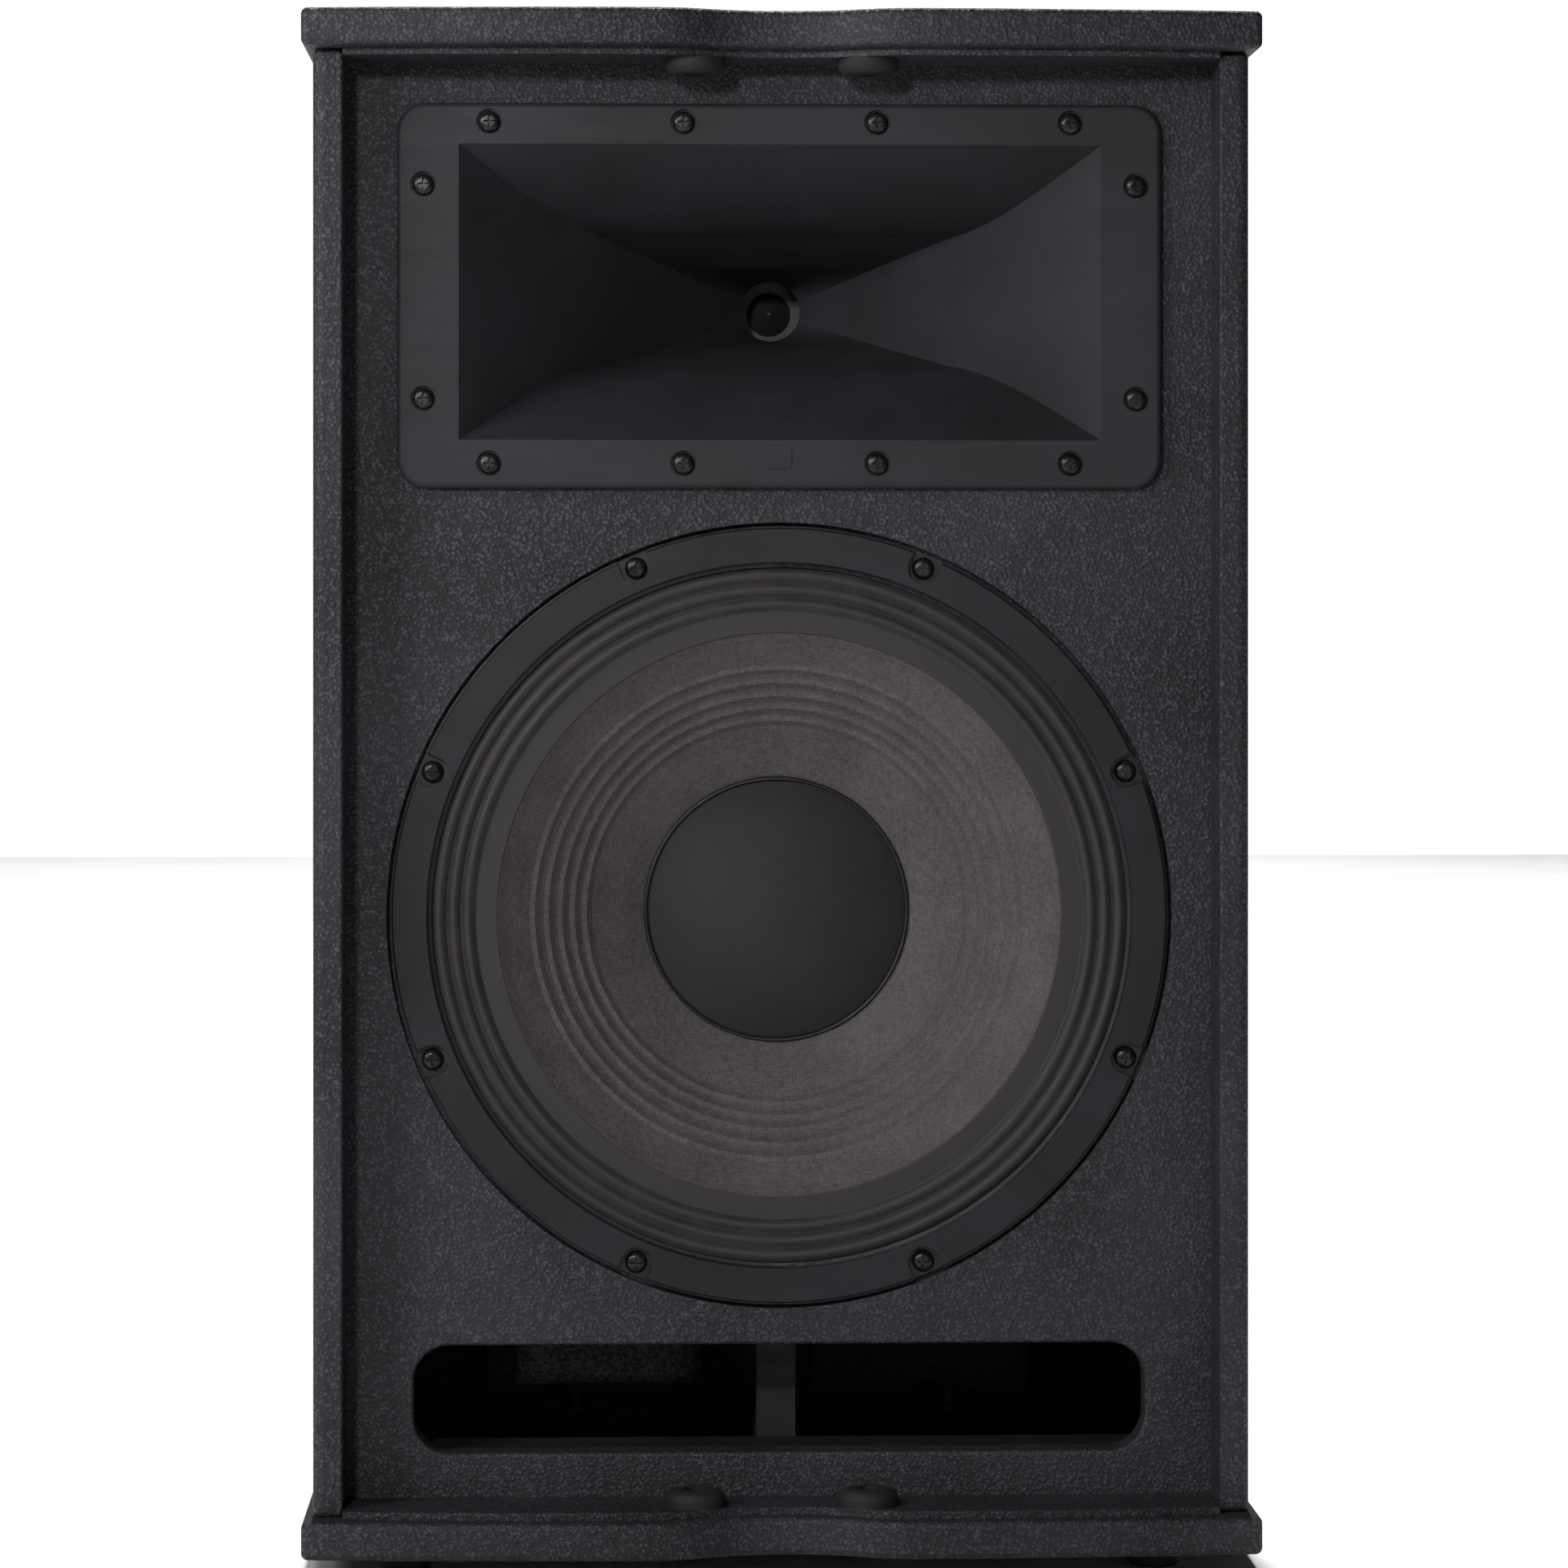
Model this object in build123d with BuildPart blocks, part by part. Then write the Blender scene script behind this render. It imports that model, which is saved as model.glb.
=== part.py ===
from build123d import *
import math
import os

# Two-way loudspeaker cabinet. Millimetres, +Z up, front faces -Y, X to the right.
# Origin: on the floor below the middle of the cabinet.

# ---------------------------------------------------------------- driving dimensions
LID_WIDTH = 381.0
LID_THICK = 15.0
FOOT_HEIGHT = 9.0
BODY_HEIGHT = 613.0
DEPTH = 360.0
LID_OVERHANG = 4.0
BACK_HALF_WIDTH = 134.0
WALL_THICK = 12.0
BOARD_THICK = 15.0
PANEL_END_R = 2.5

FRONT = -DEPTH / 2
BACK = DEPTH / 2
LID_CORNER_Y = FRONT + 6.5
LID_VALLEY_Y = FRONT + 12.0
FLOOR_Z = FOOT_HEIGHT + LID_THICK
CEILING_Z = FOOT_HEIGHT + BODY_HEIGHT - LID_THICK
INNER_HEIGHT = CEILING_Z - FLOOR_Z
WALL_FRONT_Y = FRONT + 18.0
WALL_BACK_Y = BACK - LID_OVERHANG
BEND_Y = -70.0
WALL_HALF = LID_WIDTH / 2 - LID_OVERHANG
INNER_HALF = WALL_HALF - WALL_THICK
TAPER = (WALL_HALF - BACK_HALF_WIDTH) / (WALL_BACK_Y - BEND_Y)
TAPER_DEG = math.degrees(math.atan(TAPER))
BAFFLE_FRONT = FRONT + 46.0
BAFFLE_BACK = BAFFLE_FRONT + BOARD_THICK
BACK_INNER_Y = WALL_BACK_Y - BOARD_THICK
SHOULDER_HEIGHT = 3.0
SHOULDER_SETBACK = 8.0

WOOFER_Z = 261.0
WOOFER_OUTER_R = 157.0
GASKET_INNER_R = 140.5
SCREW_CIRCLE_R = 151.5
SURROUND_INNER_R = 114.0
DUST_CAP_R = 53.5
COIL_R = 32.5
FLANGE_FRONT_Y = BAFFLE_FRONT + 4.5
REBATE_DEPTH = 6.5

HORN_Z = 510.5
MOUTH_Z = 512.0
HORN_WIDTH = 308.0
HORN_HEIGHT = 155.0
HORN_CORNER_R = 12.0
MOUTH_HALF_W = 129.3
MOUTH_HALF_H = 59.5
HORN_FRONT = BAFFLE_FRONT - 5.0
HORN_SEAT = BAFFLE_FRONT - 1.0
KINK_DEPTH = 62.0
NECK_DEPTH = 95.0
THROAT_DEPTH = 130.0
THROAT_R = 12.7
THROAT_Y = HORN_FRONT + THROAT_DEPTH
HORN_WALL = 3.0
LOZENGE_X = -1.0
LOZENGE_Z = 445.5
LOZENGE_W = 11.0
LOZENGE_H = 9.0
LOZENGE_RISE = 0.4

SLOT_WIDTH = 295.0
SLOT_LOW = 44.6
SLOT_HIGH = 88.0
SLOT_CORNER_R = 14.5
SLOT_LIP = 49.0
SHELF_THICK = 12.0
SHELF_BACK_Y = -10.0
BRACE_WIDTH = 16.0

POLE_R = 18.0
POLE_CUP_DEPTH = 85.0
POLE_Y = 42.0
M10_TAP_R = 4.25
PLATE_Z = 235.0
HANDLE_Z = 398.0
HANDLE_Y = 45.0

RIG_TOP = [(-100, -58), (100, -58)]
RIG_BOTTOM = [(-84, 112), (84, 112)]
RIG_BODY_R = 7.5
FEET = [(-150, -142), (150, -142), (-112, 142), (112, 142)]
FOOT_R = 11.0
FOOT_SCREW_R = 1.9
BUMPERS = [(-34.5, -155.0), (34.5, -155.0)]
BUMPER_SCREW_R = 1.4
POLE_SCREWS = [(x, y + POLE_Y) for x in (-24.5, 24.5) for y in (-24.5, 24.5)]
PILOT_DEPTH = 12.4
PILOT_PLAY = 0.05
HANDLE_CUT_W = 150.0
HANDLE_CUT_H = 96.0
HANDLE_FLANGE_W = 178.0
HANDLE_FLANGE_H = 124.0
HANDLE_SCREWS = [(-81, 54), (81, 54), (-81, -54), (81, -54)]
HANDLE_DEPTH = 44.0
HORN_SCREWS = [(x, z) for z in (443.0, 580.3) for x in (-117, -39, 39, 117)]
PLATE_W = 156.0
PLATE_H = 106.0
PLATE_CUT_W = 132.0
PLATE_CUT_H = 82.0
PLATE_SCREWS = [(x, z + PLATE_Z) for x in (-71, 0, 71) for z in (-47, 47)]
SOCKET_X = 30.0
RIG_BACK_Z = 560.0
BUMPER_R = 12.2
BUMPER_HEIGHT = 6.5
BUMPER_POCKET = 4.0
BUMPER_POCKET_R = 4.4
BUMPER_ROUND = 4.0
BUMPER_SCREW_HEAD_R = 3.6
BUMPER_SCREW_HEAD = 2.4
BUMPER_SCREW_HOLD = 11.0
FLARE_DEPTHS = [0.0, KINK_DEPTH * 0.25, KINK_DEPTH * 0.5, KINK_DEPTH * 0.75, KINK_DEPTH]
THROAT_FLANGE_R = 46.0
THROAT_FLANGE_THICK = 8.0
DRIVER_BOLTS = [(-38.1, MOUTH_Z), (38.1, MOUTH_Z)]
DRIVER_FRONT = THROAT_Y
POLE_TIP_Y = DRIVER_FRONT + 26.0
DRIVER_COIL_R = 22.0
DRIVER_R = 50.0
NECK_Y = -77.0
CONE_EDGE_Y = FLANGE_FRONT_Y + 0.2
TOP_PLATE_Y = -58.0
WINDOW_COUNT = 8
ROLL_COUNT = 3
ROLL_START_R = 122.9
ROLL_PITCH = 5.8
CONE_THICK = 1.0
RIB_RADII = [78.0, 83.0, 88.0, 93.5, 99.0]
RIB_HALF = 2.0
RIB_HEIGHT = 1.0
BOARD_Y = 124.0
BOARD_W = 136.0
BOARD_H = 96.0
STANDOFFS = [(x, PLATE_Z + z) for x in (-58, 58) for z in (-33, 33)]

os.makedirs("parts", exist_ok=True)


def save(part, name):
    """Label one finished piece and write it as its own STEP file."""
    part.label = name
    export_step(part, f"parts/{name}.step")


def wall_outer_x(y):
    """Half width over the side panels at depth y."""
    if y <= BEND_Y:
        return WALL_HALF
    return WALL_HALF - (y - BEND_Y) * TAPER


def wall_inner_x(y):
    """Half width between the side panels at depth y."""
    slanted = wall_outer_x(y) - WALL_THICK / math.cos(math.radians(TAPER_DEG))
    return min(INNER_HALF, slanted)


# ---------------------------------------------------------------- fasteners
def pan_screws(places, axis_plane, head_r, head_height, shank_r, length, slot=0.9):
    """Cross-recess pan-head screws. Each place is (u, v) on axis_plane, whose normal points
    out of the work, and the underside of the head lies on the plane."""
    with BuildPart() as screws:
        with BuildSketch(axis_plane):
            with Locations(*places):
                Circle(head_r)
        extrude(amount=head_height)
        crowns = screws.edges().group_by(SortBy.LENGTH)[-1]
        crowns = crowns.filter_by(lambda e: axis_plane.to_local_coords(e.center()).Z > 0.5 * head_height)
        fillet(crowns, head_height * 0.8)
        with BuildSketch(axis_plane):
            with Locations(*places):
                Circle(shank_r)
        extrude(amount=-length)
        with BuildSketch(axis_plane.offset(head_height)):
            with Locations(*places):
                Rectangle(head_r * 1.1, slot)
                Rectangle(slot, head_r * 1.1)
        extrude(amount=-head_height * 0.6, mode=Mode.SUBTRACT)
    return screws.part


# ---------------------------------------------------------------- cabinet boards
def front_edge_points(setback):
    """Half of the lid's double-lobed front edge, from the middle valley out to the corner."""
    lobe = FRONT + setback
    return [
        (0, LID_VALLEY_Y + setback),
        (10, LID_VALLEY_Y + setback - 0.6),
        (24, lobe + 8.2),
        (38, lobe + 2.2),
        (58, lobe + 0.1),
        (90, lobe + 0.5),
        (135, lobe + 2.6),
        (LID_WIDTH / 2, LID_CORNER_Y + setback),
    ]


def make_lid(name, outer_z, inward):
    """Top or bottom board: lobed front edge, straight flanks and a narrowing back.
    inward is -1 for the top board and +1 for the bottom one."""
    half = LID_WIDTH / 2
    back_half = BACK_HALF_WIDTH + LID_OVERHANG
    edge = front_edge_points(0)
    inner_z = outer_z + inward * LID_THICK
    with BuildPart() as lid:
        with BuildSketch(Plane.XY.offset(min(outer_z, inner_z))):
            with BuildLine():
                Spline(*edge, tangents=[(1, 0), (1, 0.09)])
                Polyline((half, LID_CORNER_Y), (half, BEND_Y), (back_half, BACK), (0, BACK))
                mirror(about=Plane.YZ)
            make_face()
        extrude(amount=LID_THICK)
        uprights = lid.edges().filter_by(Axis.Z)
        corner_uprights = uprights.filter_by(lambda e: abs(e.center().Y - LID_CORNER_Y) < 1)
        fillet(corner_uprights, 3.0)
        fillet(lid.edges().filter_by(Axis.Z).group_by(Axis.Y)[-1], 6.0)
        rims = lid.faces().filter_by(Axis.Z).edges()
        fillet(rims, 2.6)
        shoulder_edge = [(x, y) for x, y in front_edge_points(SHOULDER_SETBACK) if x < 150]
        shoulder_edge.append((INNER_HALF - 0.1, LID_CORNER_Y + SHOULDER_SETBACK - 0.7))
        with BuildSketch(Plane.XY.offset(inner_z)):
            with BuildLine():
                Spline(*shoulder_edge, tangents=[(1, 0), (1, 0.09)])
                Polyline(shoulder_edge[-1], (INNER_HALF - 0.1, BAFFLE_FRONT), (0, BAFFLE_FRONT))
                mirror(about=Plane.YZ)
            make_face()
        extrude(amount=inward * SHOULDER_HEIGHT)
        drill_lid(name, outer_z, inward)
    save(lid.part, name)


def drill_lid(name, outer_z, inward):
    """Through holes of a lid, then the blind pilot holes of the screws in its two faces."""
    through = [(x, y, RIG_BODY_R + PILOT_PLAY) for x, y in (RIG_TOP if inward < 0 else RIG_BOTTOM)]
    outside = []
    if name == "bottom_lid":
        through.append((0, POLE_Y, POLE_R + 2.75))
        outside += [(x, y, FOOT_SCREW_R + PILOT_PLAY) for x, y in FEET]
        outside += [(x, y, 1.95) for x, y in POLE_SCREWS]
    inside = [(x, y, BUMPER_SCREW_R + PILOT_PLAY) for x, y in BUMPERS]
    inner_face = outer_z + inward * (LID_THICK + SHOULDER_HEIGHT)
    for holes, face_z, reach in (
        (through, outer_z, inward * LID_THICK),
        (outside, outer_z, inward * PILOT_DEPTH),
        (inside, inner_face, -inward * PILOT_DEPTH),
    ):
        for x, y, radius in holes:
            with BuildSketch(Plane.XY.offset(face_z)) as hole:
                with Locations((x, y)):
                    Circle(radius)
            extrude(hole.sketch, amount=reach, mode=Mode.SUBTRACT)


def make_side_panel(name, side):
    """Bent side board: upright front part, slanted rear part, handle cut-out.
    side is -1 for the left board and +1 for the right one."""
    bend_inner_y = BEND_Y - (WALL_THICK / math.cos(math.radians(TAPER_DEG)) - WALL_THICK) / TAPER
    with BuildPart() as panel:
        with BuildSketch(Plane.XY.offset(FLOOR_Z)):
            with BuildLine():
                Polyline(
                    (side * WALL_HALF, WALL_FRONT_Y),
                    (side * WALL_HALF, BEND_Y),
                    (side * BACK_HALF_WIDTH, WALL_BACK_Y),
                    (side * wall_inner_x(WALL_BACK_Y), WALL_BACK_Y),
                    (side * INNER_HALF, bend_inner_y),
                    (side * INNER_HALF, WALL_FRONT_Y),
                    close=True,
                )
            make_face()
        extrude(amount=INNER_HEIGHT)
        uprights = panel.edges().filter_by(Axis.Z).sort_by(Axis.Y)
        front_outer = uprights[0:2].sort_by(lambda e: abs(e.center().X))[-1]
        fillet(front_outer, 4.5)
        uprights = panel.edges().filter_by(Axis.Z).sort_by(Axis.Y)
        front_inner = uprights.filter_by(lambda e: abs(e.center().X) < INNER_HALF + 0.1)[0]
        fillet(front_inner, 1.2)
        level = panel.edges().filter_by(Plane.XY)
        outer_ends = level.filter_by(lambda e: abs(e.center().X) > wall_outer_x(e.center().Y) - 2.0)
        fillet(outer_ends, PANEL_END_R)
        with BuildSketch(Plane.XY.offset(FLOOR_Z)):
            with Locations((side * (INNER_HALF + 0.75), WALL_FRONT_Y + 11.0)):
                Rectangle(1.5, 3.0)
        extrude(amount=INNER_HEIGHT, mode=Mode.SUBTRACT)
        with BuildSketch(handle_plane(side)):
            RectangleRounded(HANDLE_CUT_W, HANDLE_CUT_H, 14)
        extrude(amount=-WALL_THICK * 2, mode=Mode.SUBTRACT)
        with BuildSketch(handle_plane(side)):
            with Locations(*HANDLE_SCREWS):
                Circle(1.95)
        extrude(amount=-WALL_THICK * 2, mode=Mode.SUBTRACT)
    save(panel.part, name)


def handle_plane(side):
    """Plane on the slanted outer face of a side panel: normal out, local Y straight up."""
    tilt = math.radians(TAPER_DEG)
    along = (-math.sin(tilt), side * math.cos(tilt), 0)
    out = (side * math.cos(tilt), math.sin(tilt), 0)
    return Plane(origin=(side * wall_outer_x(HANDLE_Y), HANDLE_Y, HANDLE_Z), x_dir=along, z_dir=out)


def make_baffle():
    """Front board with the horn cut-out, the rebated woofer hole and the port slot."""
    slot_height = SLOT_HIGH - SLOT_LOW
    with BuildPart() as baffle:
        with BuildSketch(Plane.XZ.offset(-BAFFLE_BACK)):
            with Locations((0, (FLOOR_Z + CEILING_Z) / 2)):
                Rectangle(2 * INNER_HALF, INNER_HEIGHT)
            with Locations((0, MOUTH_Z)):
                Rectangle(2 * MOUTH_HALF_W + 15, 2 * MOUTH_HALF_H + 9, mode=Mode.SUBTRACT)
            with Locations((0, WOOFER_Z)):
                Circle(GASKET_INNER_R + 1, mode=Mode.SUBTRACT)
            with Locations((0, (SLOT_LOW + SLOT_HIGH) / 2)):
                RectangleRounded(SLOT_WIDTH, slot_height, SLOT_CORNER_R, mode=Mode.SUBTRACT)
            with Locations(*HORN_SCREWS):
                Circle(1.95, mode=Mode.SUBTRACT)
            with Locations((0, WOOFER_Z)):
                with PolarLocations(SCREW_CIRCLE_R, 8, 22.5):
                    Circle(2.05, mode=Mode.SUBTRACT)
        extrude(amount=BOARD_THICK)
        with BuildSketch(Plane.XZ.offset(-BAFFLE_FRONT)):
            with Locations((0, WOOFER_Z)):
                Circle(WOOFER_OUTER_R + 1.5)
        extrude(amount=-REBATE_DEPTH, mode=Mode.SUBTRACT)
        front = baffle.faces().filter_by(Axis.Y).sort_by(Axis.Y)[0]
        slot_rim = front.edges().filter_by(lambda e: FLOOR_Z + 5 < e.center().Z < SLOT_HIGH + 2)
        slot_rim = slot_rim.filter_by(lambda e: abs(e.center().X) < SLOT_WIDTH / 2 + 2)
        fillet(slot_rim, 1.5)
    save(baffle.part, "baffle")


HORN_SCREWS += [(x, z) for x in (-143.5, 143.5) for z in (469.0, 555.0)]


def make_back_panel():
    """Back board between the slanted sides, rebated for the connector plate."""
    with BuildPart() as panel:
        with BuildSketch(Plane.XY.offset(FLOOR_Z)):
            Polygon(
                (wall_inner_x(BACK_INNER_Y), BACK_INNER_Y),
                (wall_inner_x(WALL_BACK_Y), WALL_BACK_Y),
                (-wall_inner_x(WALL_BACK_Y), WALL_BACK_Y),
                (-wall_inner_x(BACK_INNER_Y), BACK_INNER_Y),
                align=None,
            )
        extrude(amount=INNER_HEIGHT)
        with BuildSketch(Plane.XZ.offset(-WALL_BACK_Y)):
            with Locations((0, PLATE_Z)):
                Rectangle(PLATE_CUT_W, PLATE_CUT_H)
            with Locations(*PLATE_SCREWS):
                Circle(1.75)
            with Locations((0, RIG_BACK_Z)):
                Circle(RIG_BODY_R + 0.05)
        extrude(amount=BOARD_THICK, mode=Mode.SUBTRACT)
        with BuildSketch(Plane.XZ.offset(-WALL_BACK_Y)):
            with Locations((0, PLATE_Z)):
                RectangleRounded(PLATE_W + 1, PLATE_H + 1, 6)
        extrude(amount=2.0, mode=Mode.SUBTRACT)
    save(panel.part, "back_panel")


def make_port_boards():
    """Shelf above the port duct, packing strip below the slot and the brace in its middle."""
    with BuildPart() as shelf:
        with BuildSketch(Plane.XY.offset(SLOT_HIGH + 2)):
            Polygon(
                (INNER_HALF, BAFFLE_BACK),
                (INNER_HALF, BEND_Y - 2),
                (wall_inner_x(SHELF_BACK_Y), SHELF_BACK_Y),
                (-wall_inner_x(SHELF_BACK_Y), SHELF_BACK_Y),
                (-INNER_HALF, BEND_Y - 2),
                (-INNER_HALF, BAFFLE_BACK),
                align=None,
            )
        extrude(amount=SHELF_THICK)
        back_rim = shelf.edges().filter_by(Axis.X).group_by(Axis.Y)[-1]
        fillet(back_rim, 4.0)
    save(shelf.part, "port_shelf")
    with BuildPart() as strip:
        with BuildSketch(Plane.XY.offset(FLOOR_Z)):
            with Locations((0, (BAFFLE_BACK + BAFFLE_FRONT + SLOT_LIP) / 2)):
                Rectangle(2 * INNER_HALF, SLOT_LIP - BOARD_THICK)
        extrude(amount=SLOT_LOW - 0.6 - FLOOR_Z)
        fillet(strip.edges().filter_by(Axis.X).group_by(Axis.Y)[-1].sort_by(Axis.Z)[-1], 6.0)
    save(strip.part, "port_strip")
    with BuildPart() as brace:
        start = BAFFLE_FRONT + SLOT_LIP
        with BuildSketch(Plane.XY.offset(FLOOR_Z)):
            with Locations((0, (start + SHELF_BACK_Y) / 2)):
                Rectangle(BRACE_WIDTH, SHELF_BACK_Y - start)
        extrude(amount=SLOT_HIGH + 2 - FLOOR_Z)
    save(brace.part, "port_brace")


def make_window_brace():
    """Shelf with a large window that ties the sides, baffle and back together above the woofer."""
    low = 423.0
    inset = 34.0
    with BuildPart() as brace:
        with BuildSketch(Plane.XY.offset(low)):
            Polygon(
                (INNER_HALF, BAFFLE_BACK),
                (INNER_HALF, BEND_Y - 2),
                (wall_inner_x(BACK_INNER_Y), BACK_INNER_Y),
                (-wall_inner_x(BACK_INNER_Y), BACK_INNER_Y),
                (-INNER_HALF, BEND_Y - 2),
                (-INNER_HALF, BAFFLE_BACK),
                align=None,
            )
            Polygon(
                (INNER_HALF - inset, BAFFLE_BACK + inset),
                (wall_inner_x(BACK_INNER_Y) - 2 * inset, BACK_INNER_Y - inset),
                (-wall_inner_x(BACK_INNER_Y) + 2 * inset, BACK_INNER_Y - inset),
                (-INNER_HALF + inset, BAFFLE_BACK + inset),
                align=None,
                mode=Mode.SUBTRACT,
            )
        extrude(amount=SHELF_THICK)
        for side in (-1, 1):
            with BuildSketch(handle_plane(side)):
                Rectangle(HANDLE_CUT_W + 6, HANDLE_CUT_H + 6)
            extrude(amount=-HANDLE_DEPTH - 6, mode=Mode.SUBTRACT)
    save(brace.part, "window_brace")


# ---------------------------------------------------------------- cabinet hardware
def make_feet():
    """Four rubber feet and the screws that hold them."""
    with BuildPart() as feet:
        with BuildSketch(Plane.XY.offset(FOOT_HEIGHT)):
            with Locations(*FEET):
                Circle(FOOT_R)
        extrude(amount=-FOOT_HEIGHT, taper=8)
        fillet(feet.faces().filter_by(Axis.Z).group_by(Axis.Z)[0].edges(), 1.5)
        with BuildSketch(Plane.XY):
            with Locations(*FEET):
                Circle(4.6)
        extrude(amount=5.0, mode=Mode.SUBTRACT)
        with BuildSketch(Plane.XY):
            with Locations(*FEET):
                Circle(FOOT_SCREW_R + 0.05)
        extrude(amount=FOOT_HEIGHT, mode=Mode.SUBTRACT)
    save(feet.part, "rubber_feet")
    seat = Plane(origin=(0, 0, 5.0), x_dir=(1, 0, 0), z_dir=(0, 0, -1))
    places = [(x, -y) for x, y in FEET]
    save(pan_screws(places, seat, 4.0, 2.6, FOOT_SCREW_R, 16.0), "foot_screws")


def make_bumpers():
    """Four grille stand-off bumpers, two under each lid, with their screws."""
    with BuildPart() as bumpers:
        for base, inward in ((CEILING_Z, -1), (FLOOR_Z, 1)):
            foot = base + inward * SHOULDER_HEIGHT
            with BuildSketch(Plane.XY.offset(foot)):
                with Locations(*BUMPERS):
                    Circle(BUMPER_R)
            extrude(amount=inward * BUMPER_HEIGHT)
        tips = bumpers.faces().filter_by(Axis.Z)
        tips = tips.filter_by(lambda f: abs(f.center().Z - CEILING_Z) > 8 and abs(f.center().Z - FLOOR_Z) > 8)
        fillet(tips.edges(), BUMPER_ROUND)
        for base, inward in ((CEILING_Z, -1), (FLOOR_Z, 1)):
            tip = base + inward * (SHOULDER_HEIGHT + BUMPER_HEIGHT)
            with BuildSketch(Plane.XY.offset(tip)):
                with Locations(*BUMPERS):
                    Circle(BUMPER_POCKET_R)
            extrude(amount=-inward * BUMPER_POCKET, mode=Mode.SUBTRACT)
            with BuildSketch(Plane.XY.offset(tip)):
                with Locations(*BUMPERS):
                    Circle(BUMPER_SCREW_R + PILOT_PLAY)
            extrude(amount=-inward * BUMPER_HEIGHT, mode=Mode.SUBTRACT)
    save(bumpers.part, "grille_bumpers")
    low_seat = FLOOR_Z + SHOULDER_HEIGHT + BUMPER_HEIGHT - BUMPER_POCKET
    high_seat = CEILING_Z - SHOULDER_HEIGHT - BUMPER_HEIGHT + BUMPER_POCKET
    low_plane = Plane.XY.offset(low_seat)
    high_plane = Plane(origin=(0, 0, high_seat), x_dir=(1, 0, 0), z_dir=(0, 0, -1))
    length = BUMPER_HEIGHT - BUMPER_POCKET + BUMPER_SCREW_HOLD
    screw = (BUMPER_SCREW_HEAD_R, BUMPER_SCREW_HEAD, BUMPER_SCREW_R, length)
    low = pan_screws(BUMPERS, low_plane, *screw)
    high = pan_screws([(x, -y) for x, y in BUMPERS], high_plane, *screw)
    save(Compound(children=[low, high]), "bumper_screws")


def make_rigging_inserts():
    """Flanged M10 threaded inserts in the lids and in the back board."""
    with BuildPart() as inserts:
        for places, outer_z, inward in (
            (RIG_TOP, FOOT_HEIGHT + BODY_HEIGHT, -1),
            (RIG_BOTTOM, FOOT_HEIGHT, 1),
        ):
            with BuildSketch(Plane.XY.offset(outer_z)):
                with Locations(*places):
                    Circle(RIG_BODY_R)
            extrude(amount=inward * (LID_THICK + 9))
            with BuildSketch(Plane.XY.offset(outer_z + inward * LID_THICK)):
                with Locations(*places):
                    Circle(15)
            extrude(amount=inward * 3)
            with BuildSketch(Plane.XY.offset(outer_z)):
                with Locations(*places):
                    Circle(M10_TAP_R)
            extrude(amount=inward * (LID_THICK + 9), mode=Mode.SUBTRACT)
        with BuildSketch(Plane.XZ.offset(-WALL_BACK_Y)):
            with Locations((0, RIG_BACK_Z)):
                Circle(RIG_BODY_R)
                Circle(M10_TAP_R, mode=Mode.SUBTRACT)
        extrude(amount=BOARD_THICK + 9)
        with BuildSketch(Plane.XZ.offset(-BACK_INNER_Y)):
            with Locations((0, RIG_BACK_Z)):
                Circle(15)
                Circle(RIG_BODY_R, mode=Mode.SUBTRACT)
        extrude(amount=3)
    save(inserts.part, "rigging_inserts")


def make_pole_cup():
    """Blind cup in the floor for a 35 mm speaker pole, with its four screws."""
    with BuildPart() as cup:
        with BuildSketch(Plane.XY.offset(FOOT_HEIGHT)):
            with Locations((0, POLE_Y)):
                Circle(POLE_R + 2.7)
        extrude(amount=POLE_CUP_DEPTH + 3)
        fillet(cup.edges().group_by(Axis.Z)[-1], 2.0)
        with BuildSketch(Plane.XY.offset(FOOT_HEIGHT)):
            with Locations((0, POLE_Y)):
                RectangleRounded(66, 66, 12)
        extrude(amount=-2.5)
        fillet(cup.faces().sort_by(Axis.Z)[0].edges(), 0.8)
        with BuildSketch(Plane.XY.offset(FOOT_HEIGHT - 2.5)):
            with Locations((0, POLE_Y)):
                Circle(POLE_R)
        extrude(amount=POLE_CUP_DEPTH, mode=Mode.SUBTRACT)
        with BuildSketch(Plane.XY.offset(FOOT_HEIGHT - 2.5)):
            with Locations(*POLE_SCREWS):
                Circle(1.95)
        extrude(amount=2.5, mode=Mode.SUBTRACT)
    save(cup.part, "pole_cup")
    seat = Plane(origin=(0, 0, FOOT_HEIGHT - 2.5), x_dir=(1, 0, 0), z_dir=(0, 0, -1))
    places = [(x, -y) for x, y in POLE_SCREWS]
    save(pan_screws(places, seat, 3.8, 2.4, 1.9, 14.0), "pole_cup_screws")


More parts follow.
